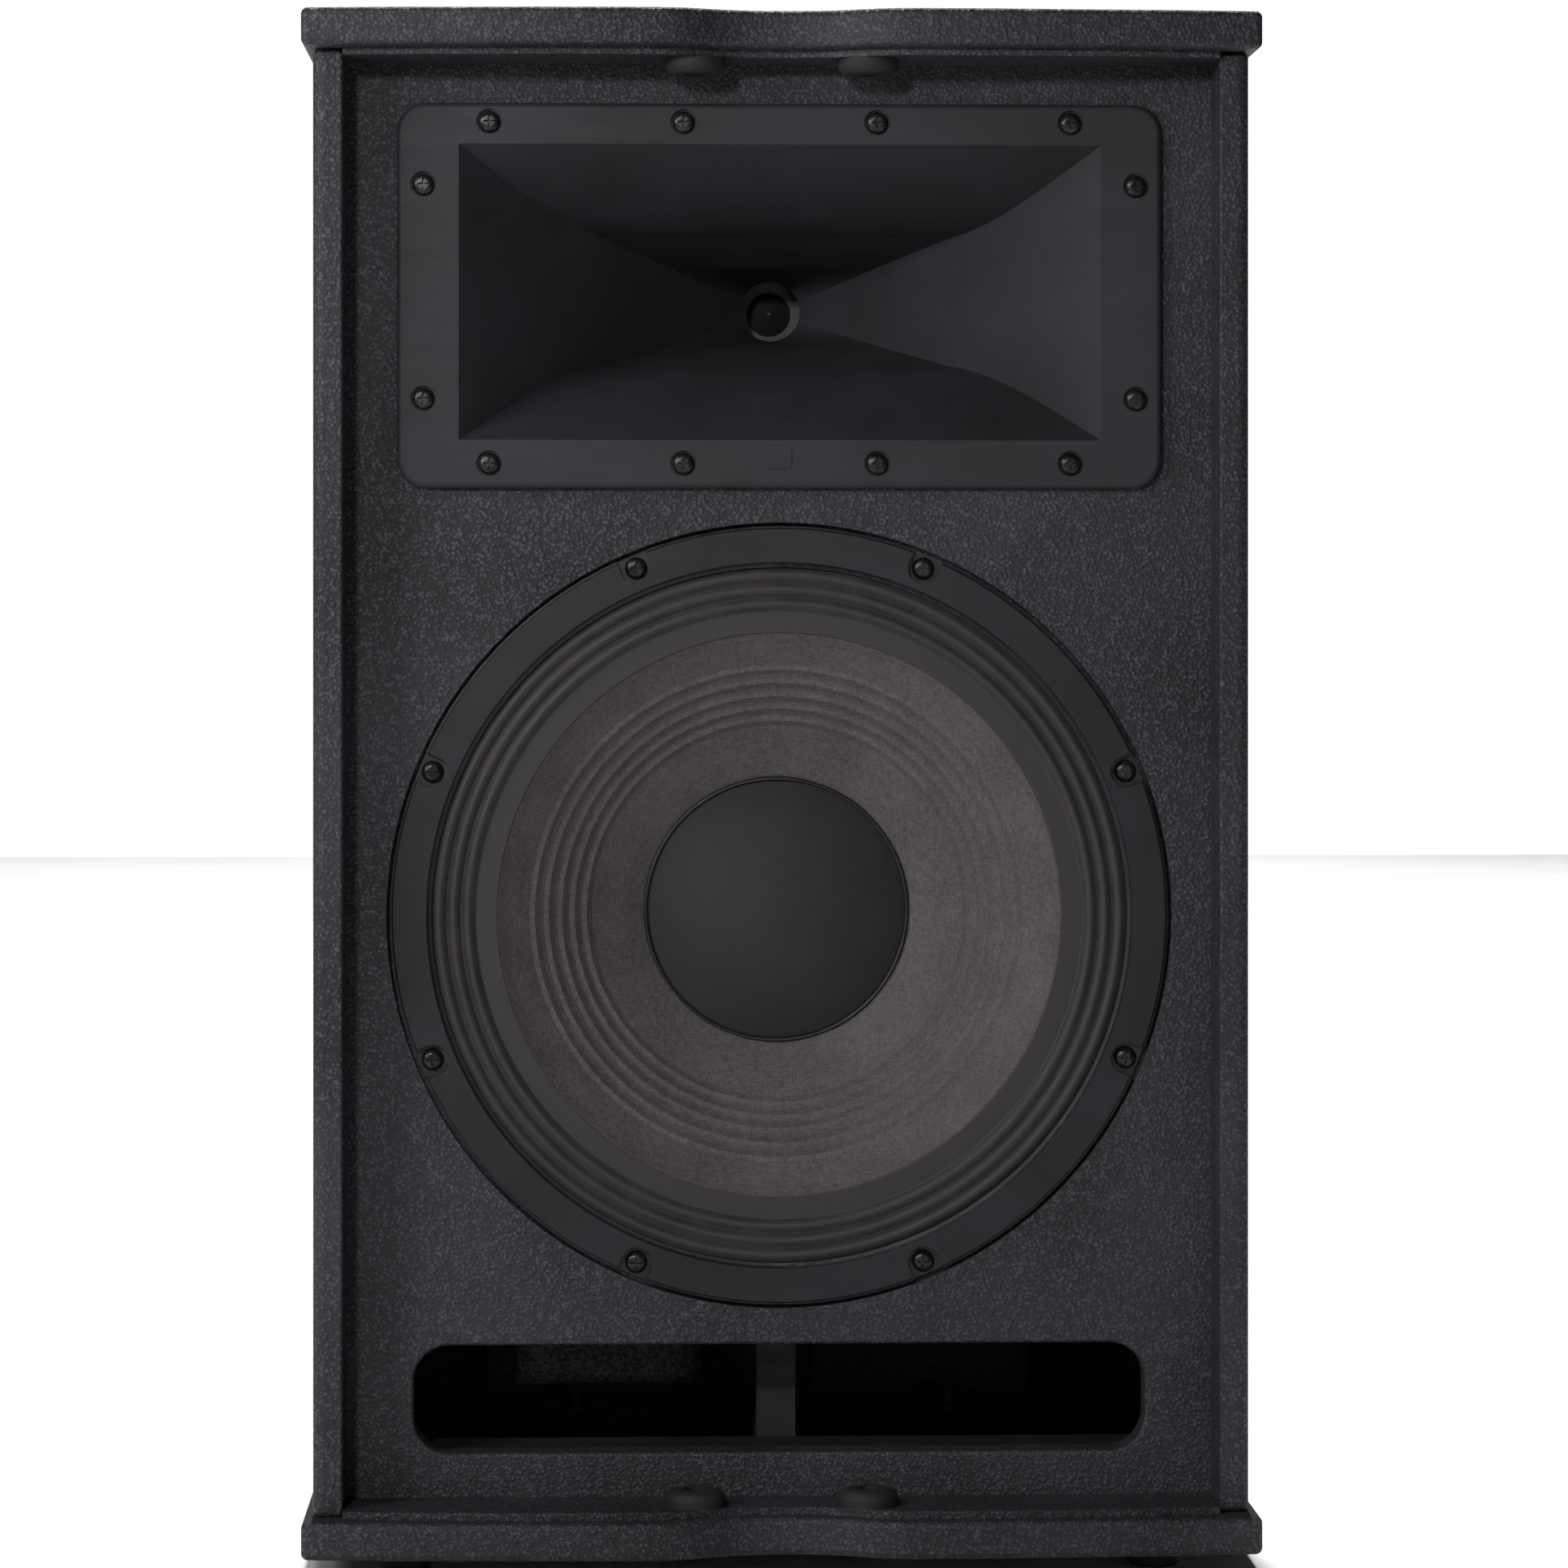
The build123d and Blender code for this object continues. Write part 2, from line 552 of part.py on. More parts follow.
def make_handle(name, side):
    """Recessed carrying handle: a dish let into the side panel with a grip bar across it."""
    face = handle_plane(side)
    with BuildPart() as handle:
        with BuildSketch(face):
            RectangleRounded(HANDLE_FLANGE_W, HANDLE_FLANGE_H, 18)
        extrude(amount=3.0)
        fillet(handle.faces().sort_by(Axis(face.origin, face.z_dir))[-1].edges(), 1.5)
        with BuildSketch(face):
            RectangleRounded(HANDLE_CUT_W - 1, HANDLE_CUT_H - 1, 13.5)
        with BuildSketch(face.offset(-HANDLE_DEPTH)):
            RectangleRounded(HANDLE_CUT_W - 17, HANDLE_CUT_H - 17, 12)
        loft()
        with BuildSketch(face.offset(3.0)):
            RectangleRounded(HANDLE_CUT_W - 6, HANDLE_CUT_H - 6, 12)
        with BuildSketch(face.offset(-HANDLE_DEPTH + 2.5)):
            RectangleRounded(HANDLE_CUT_W - 22, HANDLE_CUT_H - 22, 10)
        loft(mode=Mode.SUBTRACT)
        bar_plane = Plane(
            origin=face.from_local_coords((-HANDLE_CUT_W / 2 + 1.2, 18, -11)),
            x_dir=face.y_dir,
            z_dir=face.x_dir,
        )
        with BuildSketch(bar_plane):
            RectangleRounded(26, 20, 9)
        extrude(amount=HANDLE_CUT_W - 2.4)
        with BuildSketch(face.offset(3.0)):
            with Locations(*HANDLE_SCREWS):
                Circle(1.95)
        extrude(amount=-3.0, mode=Mode.SUBTRACT)
    save(handle.part, name)
    screws = pan_screws(HANDLE_SCREWS, face.offset(3.0), 3.9, 2.5, 1.9, 13.5)
    save(screws, f"{name}_screws")


# ---------------------------------------------------------------- horn and driver
def horn_section(depth):
    """Half width and half height of the horn passage at a depth behind its front face."""
    kink_w = 72.5
    neck_w = 43.8
    neck_h = 16.4
    if depth <= KINK_DEPTH:
        s = depth / KINK_DEPTH
        width = MOUTH_HALF_W + (kink_w - MOUTH_HALF_W) * (s ** 0.94)
        height = MOUTH_HALF_H + (26.7 - MOUTH_HALF_H) * (1 - (1 - s) ** 1.45)
        return width, height
    s = (depth - KINK_DEPTH) / (NECK_DEPTH - KINK_DEPTH)
    return kink_w + (neck_w - kink_w) * s, 26.7 + (neck_h - 26.7) * s


def horn_rectangles(depths, grow):
    """Rectangular sections of the horn at the given depths, each grown by a wall thickness."""
    faces = []
    for depth in depths:
        half_w, half_h = horn_section(depth)
        with BuildSketch(Plane.XZ.offset(-(HORN_FRONT + depth))) as section:
            with Locations((0, MOUTH_Z)):
                Rectangle(2 * (half_w + grow), 2 * (half_h + grow))
        faces.append(section.sketch)
    return faces


def throat_circle(radius):
    """Round section at the horn's throat."""
    with BuildSketch(Plane.XZ.offset(-THROAT_Y)) as section:
        with Locations((0, MOUTH_Z)):
            Circle(radius)
    return section.sketch


def make_horn():
    """Constant-directivity horn: mounting flange, flared walls, neck and round throat."""
    with BuildPart() as horn:
        with BuildSketch(Plane.XZ.offset(-HORN_SEAT)):
            with Locations((0, HORN_Z)):
                RectangleRounded(HORN_WIDTH, HORN_HEIGHT, HORN_CORNER_R)
        extrude(amount=HORN_SEAT - HORN_FRONT)
        fillet(horn.faces().sort_by(Axis.Y)[0].edges(), 2.4)
        flare_wall = horn_rectangles([3.0] + FLARE_DEPTHS[1:], HORN_WALL)
        loft(sections=flare_wall, ruled=True)
        neck_wall = horn_rectangles([KINK_DEPTH, NECK_DEPTH], HORN_WALL)
        loft(sections=neck_wall, ruled=True)
        loft(sections=[neck_wall[1], throat_circle(THROAT_R + HORN_WALL + 2)], ruled=True)
        extrude(throat_circle(THROAT_FLANGE_R), amount=THROAT_FLANGE_THICK)
        loft(sections=horn_rectangles(FLARE_DEPTHS, 0), mode=Mode.SUBTRACT)
        neck = horn_rectangles([KINK_DEPTH, NECK_DEPTH], 0)
        loft(sections=neck, ruled=True, mode=Mode.SUBTRACT)
        loft(sections=[neck[1], throat_circle(THROAT_R)], ruled=True, mode=Mode.SUBTRACT)
        with BuildSketch(Plane.XZ.offset(-HORN_FRONT)):
            with Locations(*HORN_SCREWS):
                Circle(5.2)
        extrude(amount=-1.6, mode=Mode.SUBTRACT)
        with BuildSketch(Plane.XZ.offset(-HORN_FRONT)):
            with Locations(*HORN_SCREWS):
                Circle(2.0)
        extrude(amount=-(HORN_SEAT - HORN_FRONT), mode=Mode.SUBTRACT)
        with BuildSketch(Plane.XZ.offset(-HORN_FRONT)):
            with Locations((LOZENGE_X, LOZENGE_Z)):
                RectangleRounded(LOZENGE_W, LOZENGE_H, 1.5)
        extrude(amount=LOZENGE_RISE)
        with BuildSketch(Plane.XZ.offset(-THROAT_Y)):
            with Locations(*DRIVER_BOLTS):
                Circle(3.1)
        extrude(amount=THROAT_FLANGE_THICK, mode=Mode.SUBTRACT)
    save(horn.part, "horn")


def make_horn_gasket():
    """Thin foam gasket between the horn flange and the baffle."""
    with BuildPart() as gasket:
        with BuildSketch(Plane.XZ.offset(-BAFFLE_FRONT)):
            with Locations((0, HORN_Z)):
                RectangleRounded(HORN_WIDTH - 4, HORN_HEIGHT - 4, HORN_CORNER_R - 2)
            with Locations((0, MOUTH_Z)):
                Rectangle(2 * MOUTH_HALF_W + 14, 2 * MOUTH_HALF_H + 8, mode=Mode.SUBTRACT)
            with Locations(*HORN_SCREWS):
                Circle(2.0, mode=Mode.SUBTRACT)
        extrude(amount=BAFFLE_FRONT - HORN_SEAT)
    save(gasket.part, "horn_gasket")


def make_horn_screws():
    """The twelve screws that hold the horn flange."""
    seat = Plane.XZ.offset(-(HORN_FRONT + 1.6))
    save(pan_screws(HORN_SCREWS, seat, 4.4, 3.0, 1.9, 15.0), "horn_screws")


def ring(axis_z, points, name=None):
    """Solid of revolution about the Y-parallel axis at height axis_z, from (radius, y) points."""
    with BuildPart() as body:
        with BuildSketch(Plane.XY.offset(axis_z)):
            Polygon(*points, align=None)
        revolve(axis=Axis((0, 0, axis_z), (0, 1, 0)))
    if name:
        save(body.part, name)
    return body.part


def dome(axis_z, base_y, base_r, height, thick, name):
    """Spherical-cap shell that bulges towards +Y, of even thickness along Y."""
    ball_r = (base_r ** 2 + height ** 2) / (2 * height)
    centre = base_y + height - ball_r
    half_angle = math.asin(base_r / ball_r) / 2
    mid = (ball_r * math.sin(half_angle), centre + ball_r * math.cos(half_angle))
    with BuildPart() as shell:
        with BuildSketch(Plane.XY.offset(axis_z)):
            with BuildLine():
                ThreePointArc((0, base_y + height), mid, (base_r, base_y))
                Line((base_r, base_y), (base_r, base_y - thick))
                ThreePointArc(
                    (base_r, base_y - thick),
                    (mid[0], mid[1] - thick),
                    (0, base_y + height - thick),
                )
                Line((0, base_y + height - thick), (0, base_y + height))
            make_face()
        revolve(axis=Axis((0, 0, axis_z), (0, 1, 0)))
    save(shell.part, name)


def make_compression_driver():
    """High-frequency driver bolted behind the horn throat."""
    y0 = DRIVER_FRONT
    pole_r = DRIVER_COIL_R - 0.7
    with BuildPart() as plate:
        with BuildSketch(Plane.XY.offset(MOUTH_Z)):
            Polygon(
                (THROAT_R, y0),
                (DRIVER_R, y0),
                (DRIVER_R, y0 + 8),
                (pole_r, y0 + 8),
                (pole_r, POLE_TIP_Y),
                (16.5, POLE_TIP_Y),
                (16.5, POLE_TIP_Y - 4),
                align=None,
            )
        revolve(axis=Axis((0, 0, MOUTH_Z), (0, 1, 0)))
        with BuildSketch(Plane.XZ.offset(-y0)):
            with Locations(*DRIVER_BOLTS):
                Circle(3.1)
        extrude(amount=-8, mode=Mode.SUBTRACT)
    save(plate.part, "driver_pole_plate")
    magnet_end = POLE_TIP_Y - 6
    ring(
        MOUTH_Z,
        [(27, y0 + 8), (31.5, y0 + 8), (31.5, y0 + 13), (48, y0 + 13), (48, magnet_end), (27, magnet_end)],
        "driver_magnet",
    )
    top_in = DRIVER_COIL_R + 0.75
    ring(
        MOUTH_Z,
        [(top_in, magnet_end), (DRIVER_R, magnet_end), (DRIVER_R, POLE_TIP_Y), (top_in, POLE_TIP_Y)],
        "driver_top_plate",
    )
    plug_tip = POLE_TIP_Y + 6.0
    ring(
        MOUTH_Z,
        [
            (0, y0 + 10),
            (9.5, POLE_TIP_Y - 4),
            (16.4, POLE_TIP_Y - 4),
            (16.4, POLE_TIP_Y),
            (pole_r - 0.4, POLE_TIP_Y + 0.4),
            (15, POLE_TIP_Y + 3.4),
            (8, plug_tip - 0.6),
            (0, plug_tip),
        ],
        "phase_plug",
    )
    dome(MOUTH_Z, POLE_TIP_Y + 1.6, DRIVER_COIL_R + 0.2, 7.0, 0.3, "driver_diaphragm")
    ring(
        MOUTH_Z,
        [
            (DRIVER_COIL_R - 0.3, POLE_TIP_Y - 5.5),
            (DRIVER_COIL_R + 0.3, POLE_TIP_Y - 5.5),
            (DRIVER_COIL_R + 0.3, POLE_TIP_Y - 0.5),
            (DRIVER_COIL_R, POLE_TIP_Y - 0.5),
            (DRIVER_COIL_R, POLE_TIP_Y + 1.3),
            (DRIVER_COIL_R - 0.3, POLE_TIP_Y + 1.3),
        ],
        "driver_voice_coil",
    )
    ring(
        MOUTH_Z,
        [
            (DRIVER_COIL_R + 0.25, POLE_TIP_Y + 1.3),
            (DRIVER_COIL_R + 2.2, POLE_TIP_Y + 2.5),
            (DRIVER_COIL_R + 4, POLE_TIP_Y + 1.3),
            (DRIVER_COIL_R + 4, POLE_TIP_Y + 1.6),
            (DRIVER_COIL_R + 2.2, POLE_TIP_Y + 2.8),
            (DRIVER_COIL_R + 0.25, POLE_TIP_Y + 1.6),
        ],
        "driver_suspension",
    )
    ring(
        MOUTH_Z,
        [
            (DRIVER_COIL_R + 4, POLE_TIP_Y),
            (42, POLE_TIP_Y),
            (42, POLE_TIP_Y + 3),
            (DRIVER_COIL_R + 4, POLE_TIP_Y + 3),
        ],
        "diaphragm_ring",
    )
    cover_end = POLE_TIP_Y + 24
    with BuildPart() as cover:
        with BuildSketch(Plane.XY.offset(MOUTH_Z)):
            Polygon(
                (42.2, POLE_TIP_Y),
                (46, POLE_TIP_Y),
                (46, cover_end),
                (0, cover_end),
                (0, cover_end - 3),
                (42.2, cover_end - 3),
                align=None,
            )
        revolve(axis=Axis((0, 0, MOUTH_Z), (0, 1, 0)))
        fillet(cover.edges().filter_by(GeomType.CIRCLE).sort_by(Axis.Y)[-1], 3.0)
    save(cover.part, "driver_rear_cover")
    with BuildPart() as tabs:
        with BuildSketch(Plane.XZ.offset(-cover_end)):
            with Locations((-14, MOUTH_Z - 26), (14, MOUTH_Z - 26)):
                Rectangle(6.3, 0.8)
        extrude(amount=-12)
        with BuildSketch(Plane.XZ.offset(-cover_end)):
            with Locations((-14, MOUTH_Z - 26), (14, MOUTH_Z - 26)):
                Rectangle(9, 6)
        extrude(amount=-2)
    save(tabs.part, "driver_terminals")
    with BuildPart() as bolts:
        with BuildSketch(Plane.XZ.offset(-(y0 + 8))):
            with Locations(*DRIVER_BOLTS):
                Circle(3.0)
        extrude(amount=8 + THROAT_FLANGE_THICK + 8)
        with BuildSketch(Plane.XZ.offset(-(y0 + 8))):
            with Locations(*DRIVER_BOLTS):
                RegularPolygon(5.5, 6)
        extrude(amount=-4)
        with BuildSketch(Plane.XZ.offset(-(y0 - THROAT_FLANGE_THICK))):
            with Locations(*DRIVER_BOLTS):
                RegularPolygon(5.5, 6)
        extrude(amount=5)
    save(bolts.part, "driver_bolts")


# ---------------------------------------------------------------- woofer


def make_basket():
    """Pressed-steel frame: flat rim, slanted windowed wall, spider seat and magnet seat."""
    rim_back = FLANGE_FRONT_Y + 2
    with BuildPart() as basket:
        with BuildSketch(Plane.XY.offset(WOOFER_Z)):
            Polygon(
                (WOOFER_OUTER_R, FLANGE_FRONT_Y),
                (WOOFER_OUTER_R, rim_back),
                (138.5, rim_back),
                (112, -84),
                (86, -66),
                (70, -66),
                (66, TOP_PLATE_Y),
                (38, TOP_PLATE_Y),
                (38, TOP_PLATE_Y - 2),
                (64.5, TOP_PLATE_Y - 2),
                (68.5, -68),
                (85, -68),
                (110, -85.4),
                (136.3, FLANGE_FRONT_Y),
                align=None,
            )
        revolve(axis=Axis((0, 0, WOOFER_Z), (0, 1, 0)))
        window_plane = Plane.XZ.offset(140)
        window_span = 360 / WINDOW_COUNT
        with BuildSketch(window_plane):
            with Locations((0, WOOFER_Z)):
                with PolarLocations(0, WINDOW_COUNT, 0):
                    Polygon(*window_outline(window_span), align=None)
        extrude(amount=-80, mode=Mode.SUBTRACT)
        with BuildSketch(Plane.XZ.offset(-FLANGE_FRONT_Y)):
            with Locations((0, WOOFER_Z)):
                with PolarLocations(SCREW_CIRCLE_R, 8, 22.5):
                    Circle(2.6)
        extrude(amount=-2, mode=Mode.SUBTRACT)
    save(basket.part, "woofer_basket")


def window_outline(span):
    """Outline of one basket window: a sector between two radii, narrower than its share."""
    inner_r = 91.0
    outer_r = 131.0
    half = math.radians(span * 0.34)
    points = []
    for radius, turns in ((inner_r, (-1, -0.33, 0.33, 1)), (outer_r, (1, 0.33, -0.33, -1))):
        for turn in turns:
            points.append((radius * math.cos(half * turn), radius * math.sin(half * turn)))
    return points


def make_woofer_gasket():
    """Front trim ring with eight open notches round the mounting screws."""
    front = BAFFLE_FRONT - 0.4
    edge_back = FLANGE_FRONT_Y - 0.8
    with BuildPart() as gasket:
        with BuildSketch(Plane.XY.offset(WOOFER_Z)):
            with BuildLine():
                Line((GASKET_INNER_R, edge_back), (GASKET_INNER_R, front + 2.0))
                RadiusArc((GASKET_INNER_R, front + 2.0), (GASKET_INNER_R + 2.0, front), 2.0)
                Line((GASKET_INNER_R + 2.0, front), (WOOFER_OUTER_R - 1.2, front))
                RadiusArc((WOOFER_OUTER_R - 1.2, front), (WOOFER_OUTER_R, front + 1.2), 1.2)
                Polyline(
                    (WOOFER_OUTER_R, front + 1.2),
                    (WOOFER_OUTER_R, FLANGE_FRONT_Y),
                    (147.3, FLANGE_FRONT_Y),
                    (147.3, edge_back),
                    (GASKET_INNER_R, edge_back),
                )
            make_face()
        revolve(axis=Axis((0, 0, WOOFER_Z), (0, 1, 0)))
        with BuildSketch(Plane.XZ.offset(-front + 1)):
            with Locations((0, WOOFER_Z)):
                with PolarLocations(SCREW_CIRCLE_R, 8, 22.5):
                    Circle(6.4)
                with PolarLocations(SCREW_CIRCLE_R + 6.4, 8, 22.5):
                    Rectangle(12.8, 12.8)
        extrude(amount=-8, mode=Mode.SUBTRACT)
    save(gasket.part, "woofer_gasket")


def make_woofer_screws():
    """The eight screws that hold the woofer frame."""
    places = []
    for k in range(8):
        angle = math.radians(22.5 + 45 * k)
        places.append((SCREW_CIRCLE_R * math.cos(angle), WOOFER_Z + SCREW_CIRCLE_R * math.sin(angle)))
    seat = Plane.XZ.offset(-FLANGE_FRONT_Y)
    save(pan_screws(places, seat, 4.5, 3.2, 2.0, 14.0), "woofer_screws")


def make_surround():
    """Pleated cloth edge between the cone and the frame: flat band, three rolls, glued lip."""
    thick = 0.8
    roll_height = 2.4
    steps = ROLL_COUNT * 8
    front = [(SURROUND_INNER_R, FLANGE_FRONT_Y - thick)]
    back = [(SURROUND_INNER_R, FLANGE_FRONT_Y)]
    for k in range(steps + 1):
        turn = 2 * math.pi * ROLL_COUNT * k / steps
        lift = roll_height * (0.5 - 0.5 * math.cos(turn))
        radius = ROLL_START_R + ROLL_PITCH * ROLL_COUNT * k / steps
        front.append((radius, FLANGE_FRONT_Y - thick - lift))
        back.append((radius, FLANGE_FRONT_Y - lift))
    front.append((147.0, FLANGE_FRONT_Y - thick))
    back.append((147.0, FLANGE_FRONT_Y))
    ring(WOOFER_Z, front + back[::-1], "woofer_surround")


def cone_front_y(radius):
    """Depth of the cone's front face at a radius: a shallow curve from the edge to the neck."""
    span = SURROUND_INNER_R - COIL_R
    s = (SURROUND_INNER_R - radius) / span
    depth = NECK_Y - CONE_EDGE_Y
    return CONE_EDGE_Y + depth * (1.22 * s - 0.22 * s * s)


def make_cone():
    """Ribbed paper cone with a flat glue lip at its edge."""
    lip_r = 122.5
    front = [(lip_r, FLANGE_FRONT_Y), (SURROUND_INNER_R - 0.5, CONE_EDGE_Y)]
    back = []
    radius = SURROUND_INNER_R - 4.0
    stations = [radius]
    for rib in reversed(RIB_RADII):
        stations += [rib + RIB_HALF, rib, rib - RIB_HALF]
    stations += [72, 66, 60, 54, 48, 42, 37, COIL_R]
    for station in stations:
        raised = RIB_HEIGHT if station in RIB_RADII else 0
        front.append((station, cone_front_y(station) - raised))
        back.append((station, cone_front_y(station) + CONE_THICK))
    back.insert(0, (lip_r, FLANGE_FRONT_Y + CONE_THICK))
    back.insert(1, (SURROUND_INNER_R, FLANGE_FRONT_Y + CONE_THICK + 0.3))
    ring(WOOFER_Z, front + back[::-1], "woofer_cone")


def make_dust_cap():
    """Domed cap over the voice coil, glued by its rim to the cone."""
    rim_y = cone_front_y(DUST_CAP_R) - 0.25
    height = 13.0
    thick = 0.9
    with BuildPart() as cap:
        with BuildSketch(Plane.XY.offset(WOOFER_Z)):
            with BuildLine():
                outside = SagittaArc((DUST_CAP_R, rim_y), (-DUST_CAP_R, rim_y), height)
                inside = SagittaArc((DUST_CAP_R - 1.5, rim_y), (1.5 - DUST_CAP_R, rim_y), height - thick)
                Line(outside @ 0, inside @ 0)
                Line(outside @ 1, inside @ 1)
            make_face()
            with Locations((-DUST_CAP_R, rim_y)):
                Rectangle(2 * DUST_CAP_R, 4 * height, mode=Mode.SUBTRACT)
        revolve(axis=Axis((0, 0, WOOFER_Z), (0, 1, 0)))
    save(cap.part, "dust_cap")


def make_voice_coil():
    """Former tube with its copper winding, hanging in the magnet gap."""
    gap_middle = TOP_PLATE_Y + 4
    ring(
        WOOFER_Z,
        [
            (COIL_R - 0.5, NECK_Y - 6),
            (COIL_R - 0.05, NECK_Y - 6),
            (COIL_R - 0.05, gap_middle - 8),
            (COIL_R + 0.8, gap_middle - 8),
            (COIL_R + 0.8, gap_middle + 8),
            (COIL_R - 0.5, gap_middle + 8),
        ],
        "voice_coil",
    )


def make_spider():
    """Corrugated suspension disc between the coil former and the frame."""
    points_front = [(COIL_R, -72.0)]
    points_back = [(COIL_R, -71.2)]
    pleats = 9
    for k in range(pleats):
        radius = 37.0 + k * 4.0
        lift = 1.6 if k % 2 else -1.6
        points_front.append((radius, -70.5 + lift))
        points_back.append((radius, -69.7 + lift))
    points_front.append((80.0, -68.9))
    points_back.append((80.0, -68.1))
    ring(WOOFER_Z, points_front + points_back[::-1], "woofer_spider")


def make_magnet_system():
    """Top plate, ferrite ring and back plate with the vented pole."""
    gap_r = COIL_R + 1.3
    ring(
        WOOFER_Z,
        [(gap_r, TOP_PLATE_Y), (62, TOP_PLATE_Y), (62, TOP_PLATE_Y + 8), (gap_r, TOP_PLATE_Y + 8)],
        "woofer_top_plate",
    )
    magnet_y = TOP_PLATE_Y + 8
    magnet_end = magnet_y + 20
    ring(WOOFER_Z, [(44, magnet_y), (72, magnet_y), (72, magnet_end), (44, magnet_end)], "woofer_magnet")
    plate_y = magnet_y + 20
    pole_r = COIL_R - 1.0
    with BuildPart() as back:
        with BuildSketch(Plane.XY.offset(WOOFER_Z)):
            Polygon(
                (12, TOP_PLATE_Y - 2),
                (pole_r, TOP_PLATE_Y - 2),
                (pole_r, plate_y),
                (68, plate_y),
                (68, plate_y + 8),
                (12, plate_y + 8),
                align=None,
            )
        revolve(axis=Axis((0, 0, WOOFER_Z), (0, 1, 0)))
        fillet(back.edges().filter_by(GeomType.CIRCLE).sort_by(Axis.Y)[-1], 1.5)
    save(back.part, "woofer_back_plate")


def make_woofer_terminals():
    """Two blade terminals on a small insulating strip behind the frame's wall."""
    with BuildPart() as strip:
        with BuildSketch(Plane.XZ.offset(64)):
            with Locations((0, WOOFER_Z + 78)):
                Rectangle(34, 12)
        extrude(amount=-2.2)
    with BuildPart() as tabs:
        with BuildSketch(Plane.XZ.offset(61.8)):
            with Locations((-10, WOOFER_Z + 78), (10, WOOFER_Z + 78)):
                Rectangle(6.3, 0.8)
        extrude(amount=-11)
    save(strip.part, "woofer_terminal_strip")
    save(tabs.part, "woofer_terminals")


# ---------------------------------------------------------------- electrical parts


def make_input_plate():
    """Steel connector plate with two round socket holes, let into the back panel."""
    with BuildPart() as plate:
        with BuildSketch(Plane.XZ.offset(-WALL_BACK_Y)):
            with Locations((0, PLATE_Z)):
                RectangleRounded(PLATE_W, PLATE_H, 5.5)
            with Locations(*PLATE_SCREWS):
                Circle(1.9, mode=Mode.SUBTRACT)
            with Locations((-SOCKET_X, PLATE_Z), (SOCKET_X, PLATE_Z)):
                Circle(13.5, mode=Mode.SUBTRACT)
                with GridLocations(19, 24, 2, 2):
                    Circle(1.65, mode=Mode.SUBTRACT)
        extrude(amount=2.0)
    save(plate.part, "input_plate")
    seat = Plane(origin=(0, WALL_BACK_Y, 0), x_dir=(1, 0, 0), z_dir=(0, 1, 0))
    places = [(x, -z) for x, z in PLATE_SCREWS]
    save(pan_screws(places, seat, 3.4, 2.2, 1.7, 13.0), "input_plate_screws")
    small = [(s * SOCKET_X + x, -(PLATE_Z + z)) for s in (-1, 1) for x in (-9.5, 9.5) for z in (-12, 12)]
    socket_seat = seat.offset(1.6)
    save(pan_screws(small, socket_seat, 2.6, 1.6, 1.5, 9.0, slot=0.7), "socket_screws")


def make_sockets():
    """Two four-pole locking loudspeaker sockets: flange, round shell with key ways, contacts."""
    flange_back = WALL_BACK_Y
    shell_front = WALL_BACK_Y - 26.0
    with BuildPart() as sockets:
        centres = [(-SOCKET_X, PLATE_Z), (SOCKET_X, PLATE_Z)]
        with BuildSketch(Plane.XZ.offset(-flange_back)):
            with Locations(*centres):
                RectangleRounded(26, 31, 3)
        extrude(amount=-1.6)
        with BuildSketch(Plane.XZ.offset(-flange_back)):
            with Locations(*centres):
                Circle(13.3)
        extrude(amount=26.0)
        with BuildSketch(Plane.XZ.offset(-(flange_back + 1.6))):
            with Locations(*centres):
                Circle(11.6)
                Circle(6.8, mode=Mode.SUBTRACT)
                with PolarLocations(11.2, 2, 90):
                    Rectangle(2.6, 4.4)
        extrude(amount=22.0, mode=Mode.SUBTRACT)
        with BuildSketch(Plane.XZ.offset(-(flange_back + 1.6))):
            with Locations(*centres):
                Circle(4.6)
        extrude(amount=10.0, mode=Mode.SUBTRACT)
        with BuildSketch(Plane.XZ.offset(-(flange_back + 1.6))):
            with Locations(*centres):
                with GridLocations(19, 24, 2, 2):
                    Circle(1.55)
        extrude(amount=1.6, mode=Mode.SUBTRACT)
    save(sockets.part, "speaker_sockets")
    with BuildPart() as contacts:
        with BuildSketch(Plane.XZ.offset(-shell_front)):
            with Locations(*centres):
                with PolarLocations(9.4, 4, 45):
                    Rectangle(0.8, 4.2)
        extrude(amount=10.0)
    save(contacts.part, "socket_contacts")


